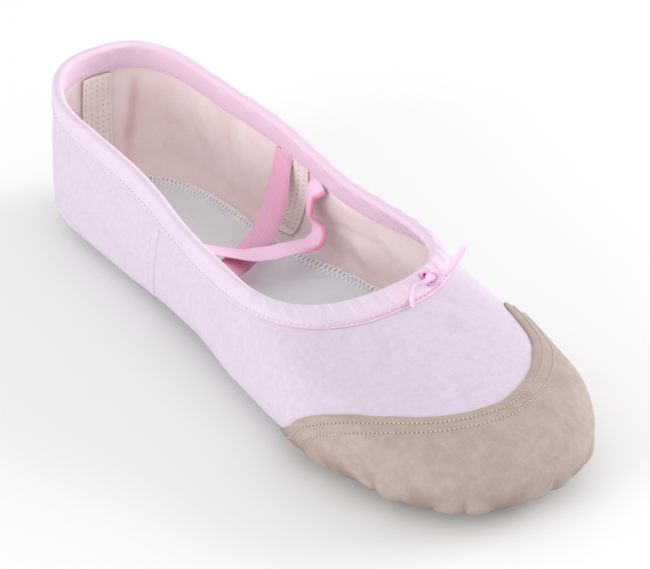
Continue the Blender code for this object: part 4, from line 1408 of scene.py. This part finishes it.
def sewSeams():
    sewSeam("sideSeam", *seamLine(0.0))
    line, away = seamLine(sewing["seamRowApart"])
    sew("sideSeamStitches", stitches(line, away, 0.0018, 0.00030), "canvasThread")
    top = float(depthToReach(np.array(0.0), shoe["bindingOutside"] - 0.0006))
    line, away = thread(np.zeros(80), top + (1.35 - top) * np.linspace(0, 1, 80))
    sewSeam("heelSeam", raised(line, away, 0.0), away)
    line, away = underside(np.zeros(80), np.linspace(*sewing["archSeam"], 80))
    sew("archSeam", [tube(raised(line, away, -0.00008), away, 0.0002)], "seamShade")


def sewTape(name, lines, inset):
    parts = []
    for surface, away in lines:
        line = raised(surface, away, -inset - tape["cloth"])
        parts += stitches(line, -away, sewing["tapePitch"], sewing["tapeThread"], filled=0.4)
    sew(name, parts, "creamThread")


def sewTapes():
    height = np.linspace(shoe["heelHeight"] - shoe["bindingInside"] - 0.001, tape["backEnd"] + 0.001, 60)
    lines = [backTapeSkin(across, height) for across in sewing["backTapeRows"]]
    sewTape("backTapeStitches", lines, liningInset + 2 * shoe["ease"])
    share = np.linspace(0.02, 0.96, 60)
    for name, side, slot in (
        ("sideTapeLeftStitches", -1.0, "side_tape_left"),
        ("sideTapeRightStitches", 1.0, "side_tape_right"),
    ):
        lines = [sideTapeSkin(side, np.full(60, across), share) for across in sewing["sideTapeRows"]]
        sewTape(name, lines, liningInset + shoe["ease"])


slit = {"aside": -0.0048, "wide": 0.0044, "up": 0.0014, "tall": 0.0020, "points": 28, "thread": 0.00032}


def makeButtonhole():
    # the slit in the binding where the drawstring comes out, with a dark hollow and a sewn rim
    count = slit["points"]
    angle = np.linspace(0, 2 * np.pi, count + 1)[:-1]
    turns = drawstring["knotTurn"] + slit["aside"] + slit["wide"] * np.cos(angle)
    depths = drawstring["knotDepth"] - slit["up"] + slit["tall"] * np.sin(angle)
    rim, away = onSkin(turns, depths, shoe["gap"] + shoe["knit"] + binding["rollPuff"] + 0.0004)
    middle = rim.mean(0)
    hollow = middle + (rim - middle) * 0.5 - away * 0.0001
    vertices = np.concatenate([rim, hollow, middle[None] - away[:1] * 0.0002, rim - away * 0.0006])
    here = np.arange(count)
    ahead = (here + 1) % count
    below = 2 * count + 1
    faces = gridQuads(2, count, closedColumns=True).tolist()
    faces += [(count + k, count + m, 2 * count) for k, m in zip(here, ahead)]
    faces += [(k, m, below + m, below + k) for k, m in zip(here, ahead)]
    faces.append(range(below, below + count))
    makePiece("buttonhole", vertices, faces, "slitShade")
    parts = []
    t = np.linspace(-1, 1, 5)[:, None]
    for point, up in zip(rim, away):
        out = unit(point - middle)
        line = point + out * (0.00035 + 0.00045 * t) + up * (0.0003 * np.cos(t * 1.5) - 0.0001)
        parts.append(tube(line, up, slit["thread"] / 2, sides=5))
    sew("buttonholeStitches", parts, "pinkThread")


sewCap()
sewPatch("frontPatchStitches", frontPatch)
sewPatch("heelPatchStitches", heelPatch)
sewBinding()
sewSeams()
sewTapes()
makeButtonhole()
print("sewing done")

# Floor and light
stage = {
    "floorReach": 3.0,
    "floorDrop": 0.0002,
    "floorColour": (0.805, 0.811, 0.805, 1),
    "floorGlow": 0.02,
    "sky": 0.92,
    # place, size, watts
    "lights": (
        ((-1.6, 0.0, 0.42), 0.9, 13.0),
        ((1.45, -0.45, 0.44), 0.9, 19.0),
    ),
    "lightAim": (0, 0, 0.02),
}


def makeStage():
    floor = bpy.data.meshes.new("floor")
    reach, drop = stage["floorReach"], stage["floorDrop"]
    corners = [(x * reach, y * reach, -drop) for x, y in ((-1, -1), (1, -1), (1, 1), (-1, 1))]
    floor.from_pydata(corners, [], [(0, 1, 2, 3)])
    material = bpy.data.materials.new("paleFloor")
    material.use_nodes = True
    setInputs(material.node_tree, material.node_tree.nodes["Principled BSDF"], {
        "Base Color": stage["floorColour"],
        "Roughness": 0.95,
        "Emission Color": (1, 1, 1, 1),
        "Emission Strength": stage["floorGlow"],
    })
    floor.materials.append(material)
    ground = bpy.data.objects.new("floor", floor)
    bpy.context.collection.objects.link(ground)
    world = bpy.data.worlds.new("paleRoom")
    bpy.context.scene.world = world
    world.use_nodes = True
    sky = world.node_tree.nodes["Background"]
    setInputs(world.node_tree, sky, {"Color": (1, 1, 1, 1), "Strength": stage["sky"]})
    for i, (spot, size, watts) in enumerate(stage["lights"]):
        data = bpy.data.lights.new("softLight%d" % i, "AREA")
        data.size = size
        data.energy = watts
        light = bpy.data.objects.new("softLight%d" % i, data)
        light.location = spot
        light.rotation_mode = "QUATERNION"
        light.rotation_quaternion = (Vector(stage["lightAim"]) - Vector(spot)).to_track_quat("-Z", "Y")
        bpy.context.collection.objects.link(light)
    bpy.context.scene.view_settings.view_transform = "Standard"


makeStage()
